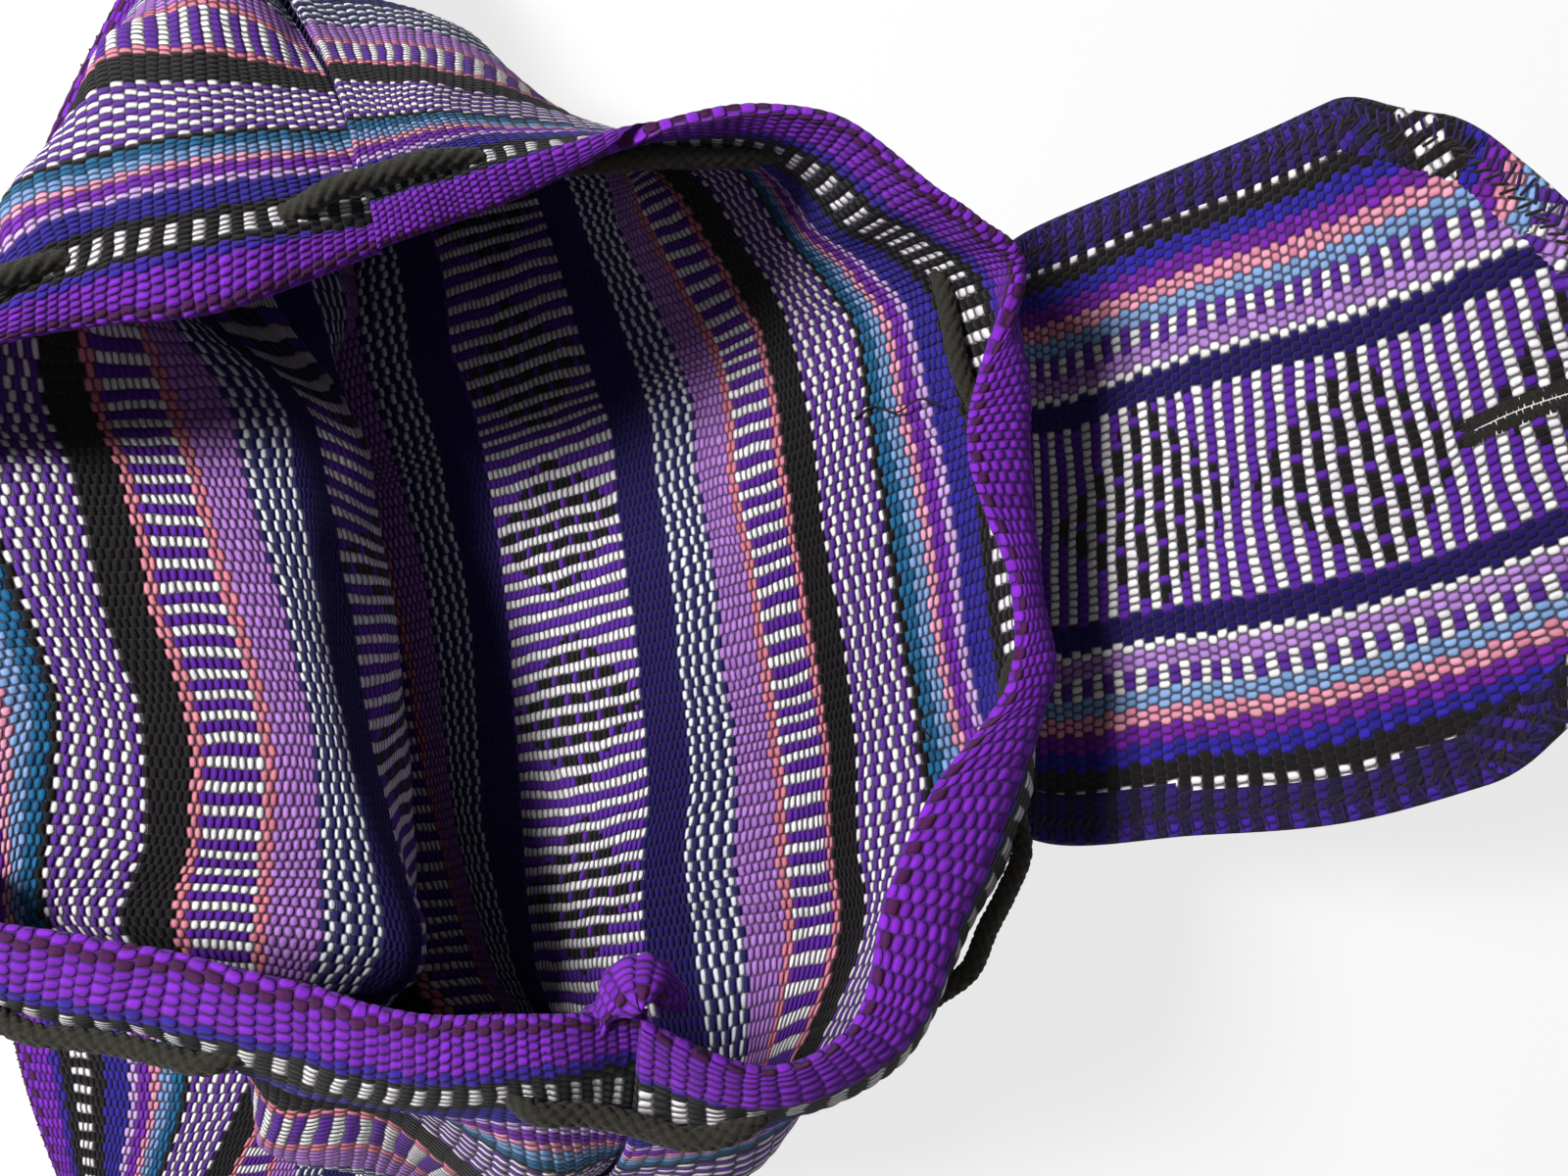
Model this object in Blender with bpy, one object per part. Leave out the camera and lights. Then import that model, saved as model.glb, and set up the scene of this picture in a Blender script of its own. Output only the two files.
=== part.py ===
"""A handwoven drawstring backpack that lies open on its back, with its flap thrown out behind it.

The frame is millimetres until the meshes are made: X runs from the bag's bottom towards its mouth and flap,
Y runs across the bag, Z is up from the surface the bag lies on.
"""
import bmesh
import bpy
import numpy as np
from mathutils import Vector

MM = 0.001

# Weaving: every place on the cloth is counted in pitches of the woven bars, which are 5.5 mm apart.
PANEL_WIDTH = 78.0
PANEL_DEPTH = 63.1

# Cloth
CLOTH = 2.5
HEM = 4.4
HEM_DEPTH = 2.4
HEM_EASE = 0.6
TOUCH = 0.35
BACK_FLOOR = 4.4
FRONT_FLOOR = 7.6
BACK_COLUMNS = 37
FRONT_COLUMNS = 37
HEM_ROWS = (0.0, 1.2, 2.4, 3.0)
PANEL_ROWS_FROM = 4.4
PANEL_ROWS = 22
SURFACE_STEP = 0.4

# Side seams: the front panel's edge lies inside the back panel's, lapped at the mouth, flush further down.
SEAM_LAP = 0.6
SEAM_STEP = 1.0
LAP_ENDS_AT = 26.0
LAP_BEGINS_AT = 12.0

# Drawstring
CORD = 4.7
CORD_ROW = 4.1
CORD_CLEAR = 0.9
CORD_HOLE_CLEAR = 0.35
CROSSING = 2.6
CORD_STEP = 11.0
CORD_ROUNDNESS = 2
SEAM_GAP = 2.2
KNOT_SCALE = 1.75

# Flap
FLAP_HALF_WIDTH = 15.0
FLAP_SEWN_AT = 10.2
FLAP_LEAVES_AT = 7.4
FLAP_MIDDLE = 43.2
FLAP_SEWN_LENGTH = -8.6
FLAP_LEAVES_LENGTH = -5.8
FLAP_KNEE_LENGTH = -2.4
FLAP_TIP_LENGTH = 26.2
FLAP_HEM = 1.7
FLAP_ROWS = 20
FLAP_COLUMNS = 15
BUTTONHOLE_LENGTH = 28.0
BUTTONHOLE_WIDTH = 3.2
BUTTONHOLE_CUT = 16.0
BUTTONHOLE_AT = 21.5

# Shoulder straps
STRAP_WIDTH = 44.0
STRAP_THICKNESS = 2.5
STRAP_LAYER = 3.0
STRAP_LEAD_IN = 6.0
STRAP_SEWN_FROM = 12.0
STRAP_SEWN_TO = 17.5
STRAP_SEWN_POINTS = 4
STRAP_TURN_POINTS = 5

# Button
BUTTON_DIAMETER = 30.0
BUTTON_THICKNESS = 4.0
BUTTON_SIDES = 32
BUTTON_ROUND = 1.2
BUTTON_ROUND_STEPS = 2
BUTTON_HOLE_SIDES = 16
BUTTON_HOLE = 3.0
BUTTON_HOLE_SPACING = 7.0
BUTTON_COLUMN = 39.0
BUTTON_DEPTH = 12.5
BUTTON_SHANK = 0.8

# The net of control points that the draped back panel hangs on. Each column runs from the mouth to the
# bottom seam at one place round the panel, counted in pitches from the first side seam. Its points are
# (pitches from the mouth, x, y, z).
BACK_NET = [
    (0, [
        (0, -90, 75, 113), (2.3, -91, 83, 114), (4.1, -93, 87, 112), (10.5, -99, 106, 108),
        (15.9, -106, 121, 100), (21.6, -115, 135, 90), (27, -125, 153, 80), (33, -124, 180, 62),
        (40, -127, 205, 38), (47, -138, 220, 16), (52, -151, 222, 7), (57, -168, 217, 4.8),
        (63.1, -188, 205, 4.5),
    ]),
    (10, [
        (0, -53, 91, 108), (2.3, -54, 96, 110), (4.1, -55, 99, 108), (10.5, -63, 109, 98),
        (15.9, -67, 121, 84), (20, -73, 133, 65), (25, -84, 150, 38), (31.5, -104, 150, 11),
        (40, -130, 146, 6), (46, -150, 146, 4.5), (55, -187, 150, 4.5), (63.1, -216, 159, 4.5),
    ]),
    (15, [
        (0, -22, 107, 106), (2.3, -22, 106, 103), (4.1, -22, 106, 96), (10.5, -28, 116, 62),
        (15.9, -43, 125, 34), (20, -50, 126, 20), (25, -70, 128, 12), (31.5, -96, 125, 9),
        (40, -126, 117, 6), (46, -148, 115, 4.5), (55, -192, 122, 4.5), (63.1, -227, 134, 4.5),
    ]),
    (20, [
        (0, 11, 109, 102), (2.3, 6, 105, 96), (4.1, 2, 104, 87), (10.5, -12, 112, 58),
        (13.8, -21, 112, 46), (17.8, -36, 109, 32), (23, -54, 107, 17), (31.5, -88, 101, 9),
        (40, -123, 91, 6), (45.3, -152, 84, 4.5), (55, -192, 95, 4.5), (63.1, -235, 106, 4.5),
    ]),
    (24, [
        (0, 31, 96, 100), (2.3, 23, 94, 92), (4.1, 17, 93, 80), (10.5, 0, 94, 56), (13.8, -10, 94, 47),
        (17.8, -26, 91, 36), (23, -46, 88, 22), (31.5, -83, 79, 10), (40, -120, 68, 6),
        (45.3, -147, 61, 4.5), (55, -193, 70, 4.5), (63.1, -240, 82, 4.5),
    ]),
    (28, [
        (0, 46, 86, 97), (2.3, 38, 86, 88), (4.1, 31, 86, 76), (10.5, 9, 83, 54), (13.8, -1, 80, 46),
        (17.8, -15, 73, 38), (23, -38, 67, 26), (31.5, -76, 58, 12), (40, -113, 47, 6),
        (45.3, -140, 39, 4.5), (55, -194, 46, 4.5), (63.1, -244, 57, 4.5),
    ]),
    (32, [
        (0, 57, 77, 93), (2.3, 50, 78, 84), (4.1, 42, 77, 72), (10.5, 18, 70, 52), (13.8, 4, 65, 46),
        (17.8, -10, 59, 39), (23, -33, 54, 28), (31.5, -71, 43, 14), (40, -110, 33, 6),
        (45.3, -136, 27, 4.5), (55, -195, 24, 4.5), (63.1, -247, 32, 4.5),
    ]),
    (37, [
        (0, 47, 51, 88), (2.3, 58, 54, 82), (4.1, 50, 53, 68), (10.5, 22, 45, 50), (13.8, 9, 39, 46),
        (17.8, -7, 33, 42), (23, -29, 27, 32), (31.5, -67, 16, 18), (40, -104, 6, 6),
        (45.3, -129, 0, 4.5), (55, -196, -2, 4.5), (63.1, -249, 3, 4.5),
    ]),
    (42, [
        (0, 45, 31, 86), (2.3, 59, 32, 80), (4.1, 55, 30, 66), (10.5, 27, 19, 48), (13.8, 12, 14, 45),
        (17.8, -3, 8, 43), (23, -25, 1, 36), (31.5, -63, -10, 22), (40, -100, -20, 7),
        (45.3, -122, -26, 4.5), (55, -196, -24, 4.5), (63.1, -249, -22, 4.5),
    ]),
    (48, [
        (0, 57, 0, 82), (2.3, 63, 0, 75), (4.1, 59, -3, 62), (10.5, 31, -13, 46), (13.8, 17, -18, 44),
        (17.8, 2, -25, 43), (23, -22, -31, 38), (31.5, -59, -40, 28), (40, -98, -48, 8),
        (45.3, -118, -52, 4.5), (55, -196, -51, 4.5), (63.1, -248, -54, 4.5),
    ]),
    (53, [
        (0, 55, -24, 84), (2.3, 66, -22, 76), (4.1, 62, -26, 62), (10.5, 36, -37, 46),
        (13.8, 20, -41, 44), (17.8, 5, -46, 43), (23, -20, -52, 39), (31.5, -56, -62, 33),
        (40, -96, -70, 9), (45.3, -112, -73, 4.5), (55, -198, -77, 4.5), (63.1, -246, -80, 4.5),
    ]),
    (58.5, [
        (0, 36, -46, 96), (2.3, 55, -45, 88), (4.1, 62, -51, 72), (10.5, 38, -64, 50),
        (13.8, 21, -68, 46), (17.8, 7, -72, 44), (23, -21, -77, 40), (31.5, -57, -85, 34),
        (40, -91, -94, 9), (45.3, -107, -97, 4.5), (55, -200, -105, 4.5), (63.1, -243, -109, 4.5),
    ]),
    (64.5, [
        (0, 23, -70, 108), (2.3, 39, -75, 104), (4.1, 43, -82, 92), (10.5, 30, -91, 54),
        (13.8, 23, -94, 47), (17.8, 8, -97, 44), (23, -18, -102, 40), (31.5, -57, -109, 34),
        (40, -84, -116, 11), (45.3, -100, -118, 4.5), (55, -202, -132, 4.5), (63.1, -236, -139, 4.5),
    ]),
    (70, [
        (0, 14, -95, 120), (2.3, 22, -101, 117), (4.1, 23, -108, 108), (10.5, 17, -118, 66),
        (13.8, 11, -124, 52), (17.8, -1, -130, 46), (23, -16, -138, 40), (31.5, -53, -138, 33),
        (40, -76, -141, 12), (45.3, -92, -142, 5), (55, -198, -155, 4.5), (63.1, -228, -166, 4.5),
    ]),
    (74, [
        (0, -5, -100, 129), (2.3, -5, -107, 128), (4.1, -5, -113, 121), (10.5, -7, -132, 92),
        (13.8, -9, -147, 74), (17.8, -16, -158, 52), (23, -27, -162, 34), (31.5, -58, -168, 17),
        (40, -97, -170, 6), (45.3, -122, -172, 4.5), (55, -184, -175, 4.5), (63.1, -221, -183, 4.5),
    ]),
    (78, [
        (0, -30, -90, 129), (2.3, -31, -100, 127), (4.1, -33, -113, 117), (10.5, -41, -141, 86),
        (15, -50, -158, 60), (22, -70, -178, 31), (28, -92, -188, 12), (34, -115, -193, 6),
        (40, -139, -196, 4.6), (52, -181, -202, 4.5), (63.1, -212, -200, 4.5),
    ]),
]

# The same for the front panel, which is pushed down and folded back on itself.
FRONT_NET = [
    (8, [
        (0, -130, 60, 113), (2.3, -129, 73, 116), (4.1, -129, 79, 116), (10.5, -132, 101, 112),
        (15.9, -137, 121, 104), (19.1, -141, 135, 97), (24, -147, 153, 86), (31, -150, 176, 66),
        (37, -158, 192, 44), (41, -162, 188, 31), (45, -156, 173, 25), (49, -148, 160, 19),
        (53, -158, 158, 13), (58, -184, 165, 12), (63.1, -208, 174, 7.7),
    ]),
    (12, [
        (0, -153, 58, 112), (2.3, -151, 68, 115), (4.1, -150, 75, 115), (10.5, -154, 97, 110),
        (13.8, -157, 112, 105), (15.9, -160, 119, 100), (17.8, -163, 126, 93), (21, -167, 130, 80),
        (27, -176, 139, 54), (32, -181, 143, 37), (36, -171, 141, 28), (41, -150, 133, 24),
        (46, -142, 129, 17), (51, -156, 131, 12.5), (57, -190, 137, 12), (63.1, -224, 142, 7.7),
    ]),
    (16, [
        (0, -175, 54, 111), (2.3, -172, 61, 113), (4.1, -170, 67, 113), (6.7, -172, 75, 112),
        (9.85, -176, 87, 107), (13.8, -178, 90, 96), (17.8, -170, 86, 80), (24, -166, 84, 58),
        (30, -162, 85, 40), (35, -152, 87, 31), (40, -134, 88, 25), (44, -129, 88, 17),
        (49, -142, 91, 12.5), (56, -188, 99, 12), (63.1, -234, 114, 7.7),
    ]),
    (21, [
        (0, -216, 38, 107), (2.3, -211, 42, 105), (4.1, -207, 46, 101), (7, -205, 50, 92),
        (10.5, -203, 51, 80), (13.8, -191, 51, 69), (17.8, -172, 53, 60), (21.65, -150, 54, 56),
        (24.35, -139, 54, 52), (26.8, -135, 53, 48), (29.5, -126, 49, 41), (34, -127, 52, 31),
        (40, -134, 58, 22), (47, -152, 64, 14), (55, -194, 74, 12), (63.1, -240, 86, 7.7),
    ]),
    (27, [
        (0, -242, 14, 104), (2.3, -235, 16, 100), (4.1, -228, 17, 95), (10.5, -195, 24, 82),
        (13.8, -178, 25, 76), (17.8, -158, 25, 69), (21.65, -138, 25, 65), (24.35, -128, 25, 61),
        (26.8, -124, 24, 56), (29.5, -116, 19, 46), (34, -118, 20, 33), (40, -127, 23, 22),
        (47, -149, 29, 14), (55, -194, 39, 12), (63.1, -245, 55, 7.7),
    ]),
    (33, [
        (0, -243, -22, 104), (2.3, -236, -19, 101), (4.1, -227, -16, 98), (10.5, -180, -5, 89),
        (13.8, -167, -5, 84), (17.8, -146, -5, 79), (21.65, -125, -6, 76), (24.35, -118, -7, 72),
        (26.8, -115, -8, 65), (29.5, -109, -8, 52), (34, -112, -8, 36), (40, -120, -6, 23),
        (47, -143, -2, 14), (55, -192, 6, 12), (63.1, -249, 22, 7.7),
    ]),
    (39, [
        (0, -228, -54, 107), (2.3, -221, -51, 104), (4.1, -212, -48, 100), (8.3, -184, -31, 93),
        (13.8, -156, -34, 87), (17.8, -136, -34, 83), (21.65, -117, -35, 80), (24.35, -111, -36, 77),
        (26.8, -108, -38, 70), (29.5, -106, -37, 57), (34, -108, -36, 39), (40, -116, -35, 24),
        (47, -140, -31, 14), (55, -192, -24, 12), (63.1, -250, -10, 7.7),
    ]),
    (44, [
        (0, -205, -72, 112), (2.3, -199, -69, 108), (4.1, -193, -65, 101), (9, -181, -56, 94),
        (13.8, -155, -59, 88), (17.8, -135, -61, 85), (21.65, -114, -62, 82), (24.35, -104, -63, 79),
        (26.8, -100, -65, 73), (29.5, -103, -64, 60), (34, -105, -64, 42), (40, -113, -62, 25),
        (47, -138, -59, 14), (55, -191, -53, 12), (63.1, -249, -37, 7.7),
    ]),
    (50, [
        (0, -171, -73, 118), (2.3, -174, -86, 115), (4.1, -180, -92, 106), (10.5, -173, -81, 92),
        (13.8, -159, -82, 89), (17.8, -136, -84, 86), (21.65, -114, -87, 83), (24.35, -101, -90, 79),
        (27.5, -93, -95, 71), (30, -100, -94, 58), (34, -104, -92, 42), (40, -112, -90, 25),
        (47, -138, -87, 14), (55, -191, -82, 12), (63.1, -247, -70, 7.7),
    ]),
    (56, [
        (0, -136, -77, 122), (2.3, -139, -91, 120), (4.1, -143, -98, 111), (10.5, -143, -100, 94),
        (17.8, -131, -107, 84), (23, -121, -113, 76), (27, -112, -113, 64), (33, -110, -113, 40),
        (40, -118, -111, 22), (47, -142, -109, 14), (55, -192, -107, 12), (63.1, -243, -101, 7.7),
    ]),
    (62, [
        (0, -103, -83, 127), (2.3, -104, -97, 125), (4.1, -108, -104, 118), (5.35, -112, -110, 110),
        (10.5, -119, -113, 94), (15.5, -122, -123, 88), (17.8, -127, -133, 80), (21.65, -136, -146, 62),
        (26, -135, -146, 46), (32, -124, -138, 30), (40, -127, -134, 18), (47, -147, -133, 13.5),
        (55, -191, -132, 12), (63.1, -238, -130, 7.7),
    ]),
    (68, [
        (0, -76, -88, 131), (2.3, -77, -101, 129), (4.1, -80, -109, 122), (5.35, -84, -114, 114),
        (10.5, -91, -117, 97), (15.5, -95, -125, 90), (17.8, -99, -133, 83), (21.65, -107, -150, 66),
        (26, -114, -161, 46), (32, -118, -162, 26), (40, -134, -158, 15), (47, -156, -157, 13),
        (55, -191, -157, 12), (63.1, -232, -155, 7.7),
    ]),
    (73, [
        (0, -53, -88, 132), (2.3, -52, -99, 131), (4.1, -53, -108, 123), (6.7, -56, -118, 112),
        (10.5, -58, -138, 92), (15.9, -72, -158, 66), (22, -92, -168, 43), (28, -107, -174, 25),
        (34, -123, -177, 15), (40, -143, -179, 12.5), (52, -186, -183, 12), (63.1, -223, -180, 7.7),
    ]),
]

# Which face of the cloth the drawstring runs on: (first pitch, last pitch, side), side 1 being outside.
# Pitches run round the mouth: 0 to 78 on the back panel, then 78 to 156 back along the front panel.
CORD_RUNS = [
    (-36.0, -28.0, 1),
    (-28.0, -20.5, -1),
    (-20.5, -14.0, 1),
    (-14.0, -4.0, -1),
    (-4.0, 7.0, 1),
    (7.0, 19.0, -1),
    (19.0, 31.0, 1),
    (31.0, 39.0, -1),
    (39.0, 51.5, 1),
    (51.5, 60.0, -1),
    (60.0, 67.0, 1),
    (67.0, 74.0, -1),
    (74.0, 84.0, 1),
    (84.0, 96.0, -1),
    (96.0, 106.0, 1),
    (106.0, 112.0, -1),
    (112.0, 114.0, 1),
]
# The two free ends hang from the middle of the front and lie on the table: (x, y, z).
FIRST_TAIL = [
    (-232, -40, 84), (-250, -36, 62), (-262, -32, 34), (-272, -27, 13), (-288, -20, 5.2), (-306, -12, 4.8),
]
LAST_TAIL = [
    (-224, -60, 84), (-246, -62, 64), (-259, -64, 38), (-268, -68, 14), (-281, -75, 5.2), (-300, -84, 4.8),
]

# The flap from its hinge to its tip: (pitches from the hinge, then x, y, z of its two edges and middle).
FLAP_NET = [
    (0.0, (66, 98, 45), (69, 14, 45), (70, -70, 45)),
    (6.6, (94, 107, 60), (101, 21, 61), (108, -65, 62)),
    (12.1, (116, 112, 79), (124, 25, 80), (139, -58, 81)),
    (18.0, (134, 117, 95), (151, 32, 96), (172, -44, 97)),
    (22.1, (151, 121, 107), (168, 41, 108), (195, -33, 109)),
    (26.2, (169, 127, 117), (188, 47, 118), (214, -28, 119)),
]
FLAP_KNEE = (57, 49)
# Half the flap's width, in pitches, where its corners are cut: (pitches from the hinge, half width).
FLAP_OUTLINE = [(-9.0, 15.0), (18.0, 15.0), (19.7, 13.7), (22.3, 12.2), (25.0, 7.7), (26.2, 5.2)]

# Each strap: which pitch of the back panel it is sewn to, where it is folded, and its way to the corner.
# The way is (x, y, heading of the strap in degrees from -X towards +Y).
LEFT_STRAP = {
    "column": 33.0,
    "drop": [(-24, 54, 24), (-42, 53, 12)],
    "fold_left": -60.0,
    "fold_right": 36.0,
    "y": 52.0,
    "way": [(-62, 52, 0), (-92, 57, 18), (-122, 71, 34), (-148, 93, 46), (-168, 120, 56), (-183, 148, 62)],
}
RIGHT_STRAP = {
    "column": 52.0,
    "drop": [(-24, -50, 26), (-42, -52, 13)],
    "fold_left": -60.0,
    "fold_right": 40.0,
    "y": -54.0,
    "way": [(-62, -54, 0), (-92, -59, -18), (-122, -75, -36), (-146, -99, -48), (-165, -127, -57),
            (-179, -154, -64)],
}

# How far the whole model moves so that its origin is the middle of its footprint.
SHIFT_X = 26.35
SHIFT_Y = -10.05


def through(stations, values, wanted):
    """A smooth curve through hand-chosen values, read at the wanted stations."""
    xs = np.asarray(stations, float)
    ys = np.asarray(values, float)
    gaps = np.diff(xs)
    slopes = np.diff(ys, axis=0) / gaps[:, None]
    tangents = np.empty_like(ys)
    weighted = slopes[:-1] * gaps[1:, None] + slopes[1:] * gaps[:-1, None]
    tangents[1:-1] = weighted / (gaps[:-1] + gaps[1:])[:, None]
    tangents[0] = slopes[0]
    tangents[-1] = slopes[-1]
    at = np.asarray(wanted, float)
    i = np.clip(np.searchsorted(xs, at, side="right") - 1, 0, len(gaps) - 1)
    t = ((at - xs[i]) / gaps[i])[:, None]
    gap = gaps[i][:, None]
    start = (2 * t**3 - 3 * t**2 + 1) * ys[i] + (t**3 - 2 * t**2 + t) * gap * tangents[i]
    end = (3 * t**2 - 2 * t**3) * ys[i + 1] + (t**3 - t**2) * gap * tangents[i + 1]
    return start + end


def unit(vectors):
    """The same vectors, one long."""
    return vectors / np.linalg.norm(vectors, axis=-1, keepdims=True)


def net_rows(net, depths):
    """Each column of a net, read at the wanted depths."""
    rows = [through([p[0] for p in points], [p[1:] for p in points], depths) for _, points in net]
    return np.array([at for at, _ in net]), np.stack(rows)


def across(stations, columns, wanted):
    """Columns between the columns of a net."""
    return np.stack([through(stations, columns[:, j], wanted) for j in range(columns.shape[1])], axis=1)


def back_surface(columns, depths):
    """The middle of the back panel's cloth. It lies flat where it meets the table."""
    stations, rows = net_rows(BACK_NET, depths)
    points = across(stations, rows, columns)
    points[..., 2] = np.maximum(points[..., 2], BACK_FLOOR)
    return points


def cloth_thickness(depths):
    """The cloth is doubled by the hem at the mouth."""
    share = np.clip((np.asarray(depths) - HEM_DEPTH) / HEM_EASE, 0, 1)
    return HEM + (CLOTH - HEM) * share


def lapped_edge(depths, edge, inward):
    """Where the front panel's edge lies inside the back panel's edge."""
    rim = back_surface([edge], depths)[0]
    beside = back_surface([edge + inward], depths)[0]
    upper = back_surface([edge], np.maximum(depths - SURFACE_STEP, 0))[0]
    lower = back_surface([edge], np.minimum(depths + SURFACE_STEP, PANEL_DEPTH))[0]
    along = unit(beside - rim)
    normal = unit(np.cross(lower - upper, along)) * inward
    share = np.clip((depths - LAP_BEGINS_AT) / (LAP_ENDS_AT - LAP_BEGINS_AT), 0, 1)
    lap = SEAM_LAP * (1 - share)
    rise = cloth_thickness(depths) + SEAM_STEP
    return rim + rise[:, None] * normal + lap[:, None] * along


def front_surface(columns, depths):
    """The middle of the front panel's cloth, from the first side seam to the second."""
    depths = np.asarray(depths, float)
    stations, rows = net_rows(FRONT_NET, depths)
    first = lapped_edge(depths, 0.0, 1)
    last = lapped_edge(depths, PANEL_WIDTH, -1)
    stations = np.concatenate([[0.0], stations, [PANEL_WIDTH]])
    rows = np.concatenate([first[None], rows, last[None]])
    points = across(stations, rows, columns)
    points[..., 2] = np.maximum(points[..., 2], FRONT_FLOOR)
    return points


def grid_normals(points):
    """Unit normals of a grid of points."""
    return unit(np.cross(np.gradient(points, axis=0), np.gradient(points, axis=1)))


def new_object(name, mesh, material):
    """An object in the scene, with its material."""
    made = bpy.data.objects.new(name, mesh)
    bpy.context.scene.collection.objects.link(made)
    mesh.materials.append(material)
    return made


def mesh_object(name, vertices, faces, material, smooth=True):
    """A closed mesh from millimetres, facing outward."""
    mesh = bpy.data.meshes.new(name)
    moved = (np.asarray(vertices, float) + (SHIFT_X, SHIFT_Y, 0.0)) * MM
    mesh.from_pydata(moved.tolist(), [], [list(face) for face in faces])
    worked = bmesh.new()
    worked.from_mesh(mesh)
    bmesh.ops.recalc_face_normals(worked, faces=worked.faces)
    worked.to_mesh(mesh)
    worked.free()
    for polygon in mesh.polygons:
        polygon.use_smooth = smooth
    return new_object(name, mesh, material)


def thick_sheet(name, points, thickness, material):
    """A sheet of cloth round the middle surface given by a grid of points."""
    rows, columns = points.shape[:2]
    half = grid_normals(points) * np.broadcast_to(thickness, (rows, columns))[..., None] / 2
    vertices = np.concatenate([(points + half).reshape(-1, 3), (points - half).reshape(-1, 3)])
    under = rows * columns
    number = np.arange(under).reshape(rows, columns)
    faces = []
    for i in range(rows - 1):
        for j in range(columns - 1):
            quad = (number[i, j], number[i + 1, j], number[i + 1, j + 1], number[i, j + 1])
            faces.append(quad)
            faces.append(tuple(under + corner for corner in reversed(quad)))
    border = [*number[:, 0], *number[-1, 1:], *number[-2::-1, -1], *number[0, -2:0:-1]]
    for a, b in zip(border, border[1:] + border[:1]):
        faces.append((b, a, under + a, under + b))
    return mesh_object(name, vertices, faces, material)


def ribbon(name, centres, sides, ups, material):
    """A flat strap swept along its middle line."""
    half_width = sides * STRAP_WIDTH / 2
    half_thick = ups * STRAP_THICKNESS / 2
    corners = [
        centres + half_width + half_thick,
        centres - half_width + half_thick,
        centres - half_width - half_thick,
        centres + half_width - half_thick,
    ]
    vertices = np.stack(corners, axis=1).reshape(-1, 3)
    faces = [(0, 1, 2, 3)]
    for i in range(len(centres) - 1):
        for j in range(4):
            k = (j + 1) % 4
            faces.append((4 * i + j, 4 * i + k, 4 * i + 4 + k, 4 * i + 4 + j))
    last = 4 * (len(centres) - 1)
    faces.append((last + 3, last + 2, last + 1, last))
    return mesh_object(name, vertices, faces, material)


def material(name, colour, roughness):
    """A plain dielectric material."""
    made = bpy.data.materials.new(name)
    made.use_nodes = True
    shader = made.node_tree.nodes["Principled BSDF"]
    shader.inputs["Base Color"].default_value = (*colour, 1.0)
    shader.inputs["Roughness"].default_value = roughness
    shader.inputs["Metallic"].default_value = 0.0
    return made


def helper(target):
    """Marks an object as a cutter, so that it is no part of the model."""
    target.hide_render = True
    target.display_type = "WIRE"
    return target


def cut(target, cutter):
    """Takes a cutter out of an object and bakes the result."""
    modifier = target.modifiers.new("Cut", "BOOLEAN")
    modifier.operation = "DIFFERENCE"
    modifier.solver = "EXACT"
    modifier.object = cutter


def outward(surface, columns, depth):
    """The way out of the bag at places of a surface, by the cloth's own two directions."""
    columns = np.asarray(columns, float)
    lower = surface(columns, [depth + SURFACE_STEP])[:, 0]
    upper = surface(columns, [depth - SURFACE_STEP])[:, 0]
    after = surface(np.minimum(columns + SURFACE_STEP, PANEL_WIDTH), [depth])[:, 0]
    before = surface(np.maximum(columns - SURFACE_STEP, 0), [depth])[:, 0]
    return unit(np.cross(after - before, lower - upper))


def mouth_point(pitch):
    """A point of the drawstring's row, and the way out of the bag there."""
    pitch = pitch % (2 * PANEL_WIDTH)
    if pitch <= PANEL_WIDTH:
        point = back_surface([pitch], [CORD_ROW])[0, 0]
        way = outward(back_surface, [pitch], CORD_ROW)[0]
    else:
        column = 2 * PANEL_WIDTH - pitch
        point = front_surface([column], [CORD_ROW])[0, 0]
        way = -outward(front_surface, [column], CORD_ROW)[0]
    return point, way


def cord_side(pitch):
    """Between 1, outside the cloth, and -1, inside it, easing through each crossing."""
    side = CORD_RUNS[0][2]
    for before, after in zip(CORD_RUNS, CORD_RUNS[1:]):
        share = np.clip((pitch - after[0]) / CROSSING + 0.5, 0, 1)
        side += (after[2] - before[2]) * share * share * (3 - 2 * share)
    return side


def cord_route():
    """The drawstring's middle line: first free end, round the mouth, last free end."""
    offset = CORD / 2 + CLOTH / 2 + CORD_CLEAR
    pitches = np.arange(CORD_RUNS[0][0], CORD_RUNS[-1][1] + 0.01, 1.0)
    seams = np.array([0.0, PANEL_WIDTH])
    points = [Vector(p) for p in reversed(FIRST_TAIL)]
    for pitch in pitches:
        if np.abs(seams - pitch).min() < SEAM_GAP:
            continue
        point, way = mouth_point(pitch)
        points.append(Vector(point + way * offset * cord_side(pitch)))
    points.extend(Vector(p) for p in LAST_TAIL)
    return np.array([tuple(p) for p in points])


def even(points, step):
    """The same line with evenly spaced points."""
    lengths = np.concatenate([[0], np.cumsum(np.linalg.norm(np.diff(points, axis=0), axis=1))])
    fine = through(lengths, points, np.linspace(0, lengths[-1], int(lengths[-1] * 2)))
    lengths = np.concatenate([[0], np.cumsum(np.linalg.norm(np.diff(fine, axis=0), axis=1))])
    wanted = np.linspace(0, lengths[-1], int(round(lengths[-1] / step)) + 1)
    return np.stack([np.interp(wanted, lengths, fine[:, k]) for k in range(3)], axis=1)


def tube(name, points, radii, radius, material_used):
    """A round cord as a curve."""
    curve = bpy.data.curves.new(name, "CURVE")
    curve.dimensions = "3D"
    curve.bevel_depth = radius * MM
    curve.bevel_resolution = CORD_ROUNDNESS
    curve.use_fill_caps = True
    spline = curve.splines.new("POLY")
    spline.points.add(len(points) - 1)
    for point, place, share in zip(spline.points, points, radii):
        moved = (np.asarray(place) + (SHIFT_X, SHIFT_Y, 0.0)) * MM
        point.co = (*moved, 1.0)
        point.radius = share
    made = bpy.data.objects.new(name, curve)
    bpy.context.scene.collection.objects.link(made)
    curve.materials.append(material_used)
    return made


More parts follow.
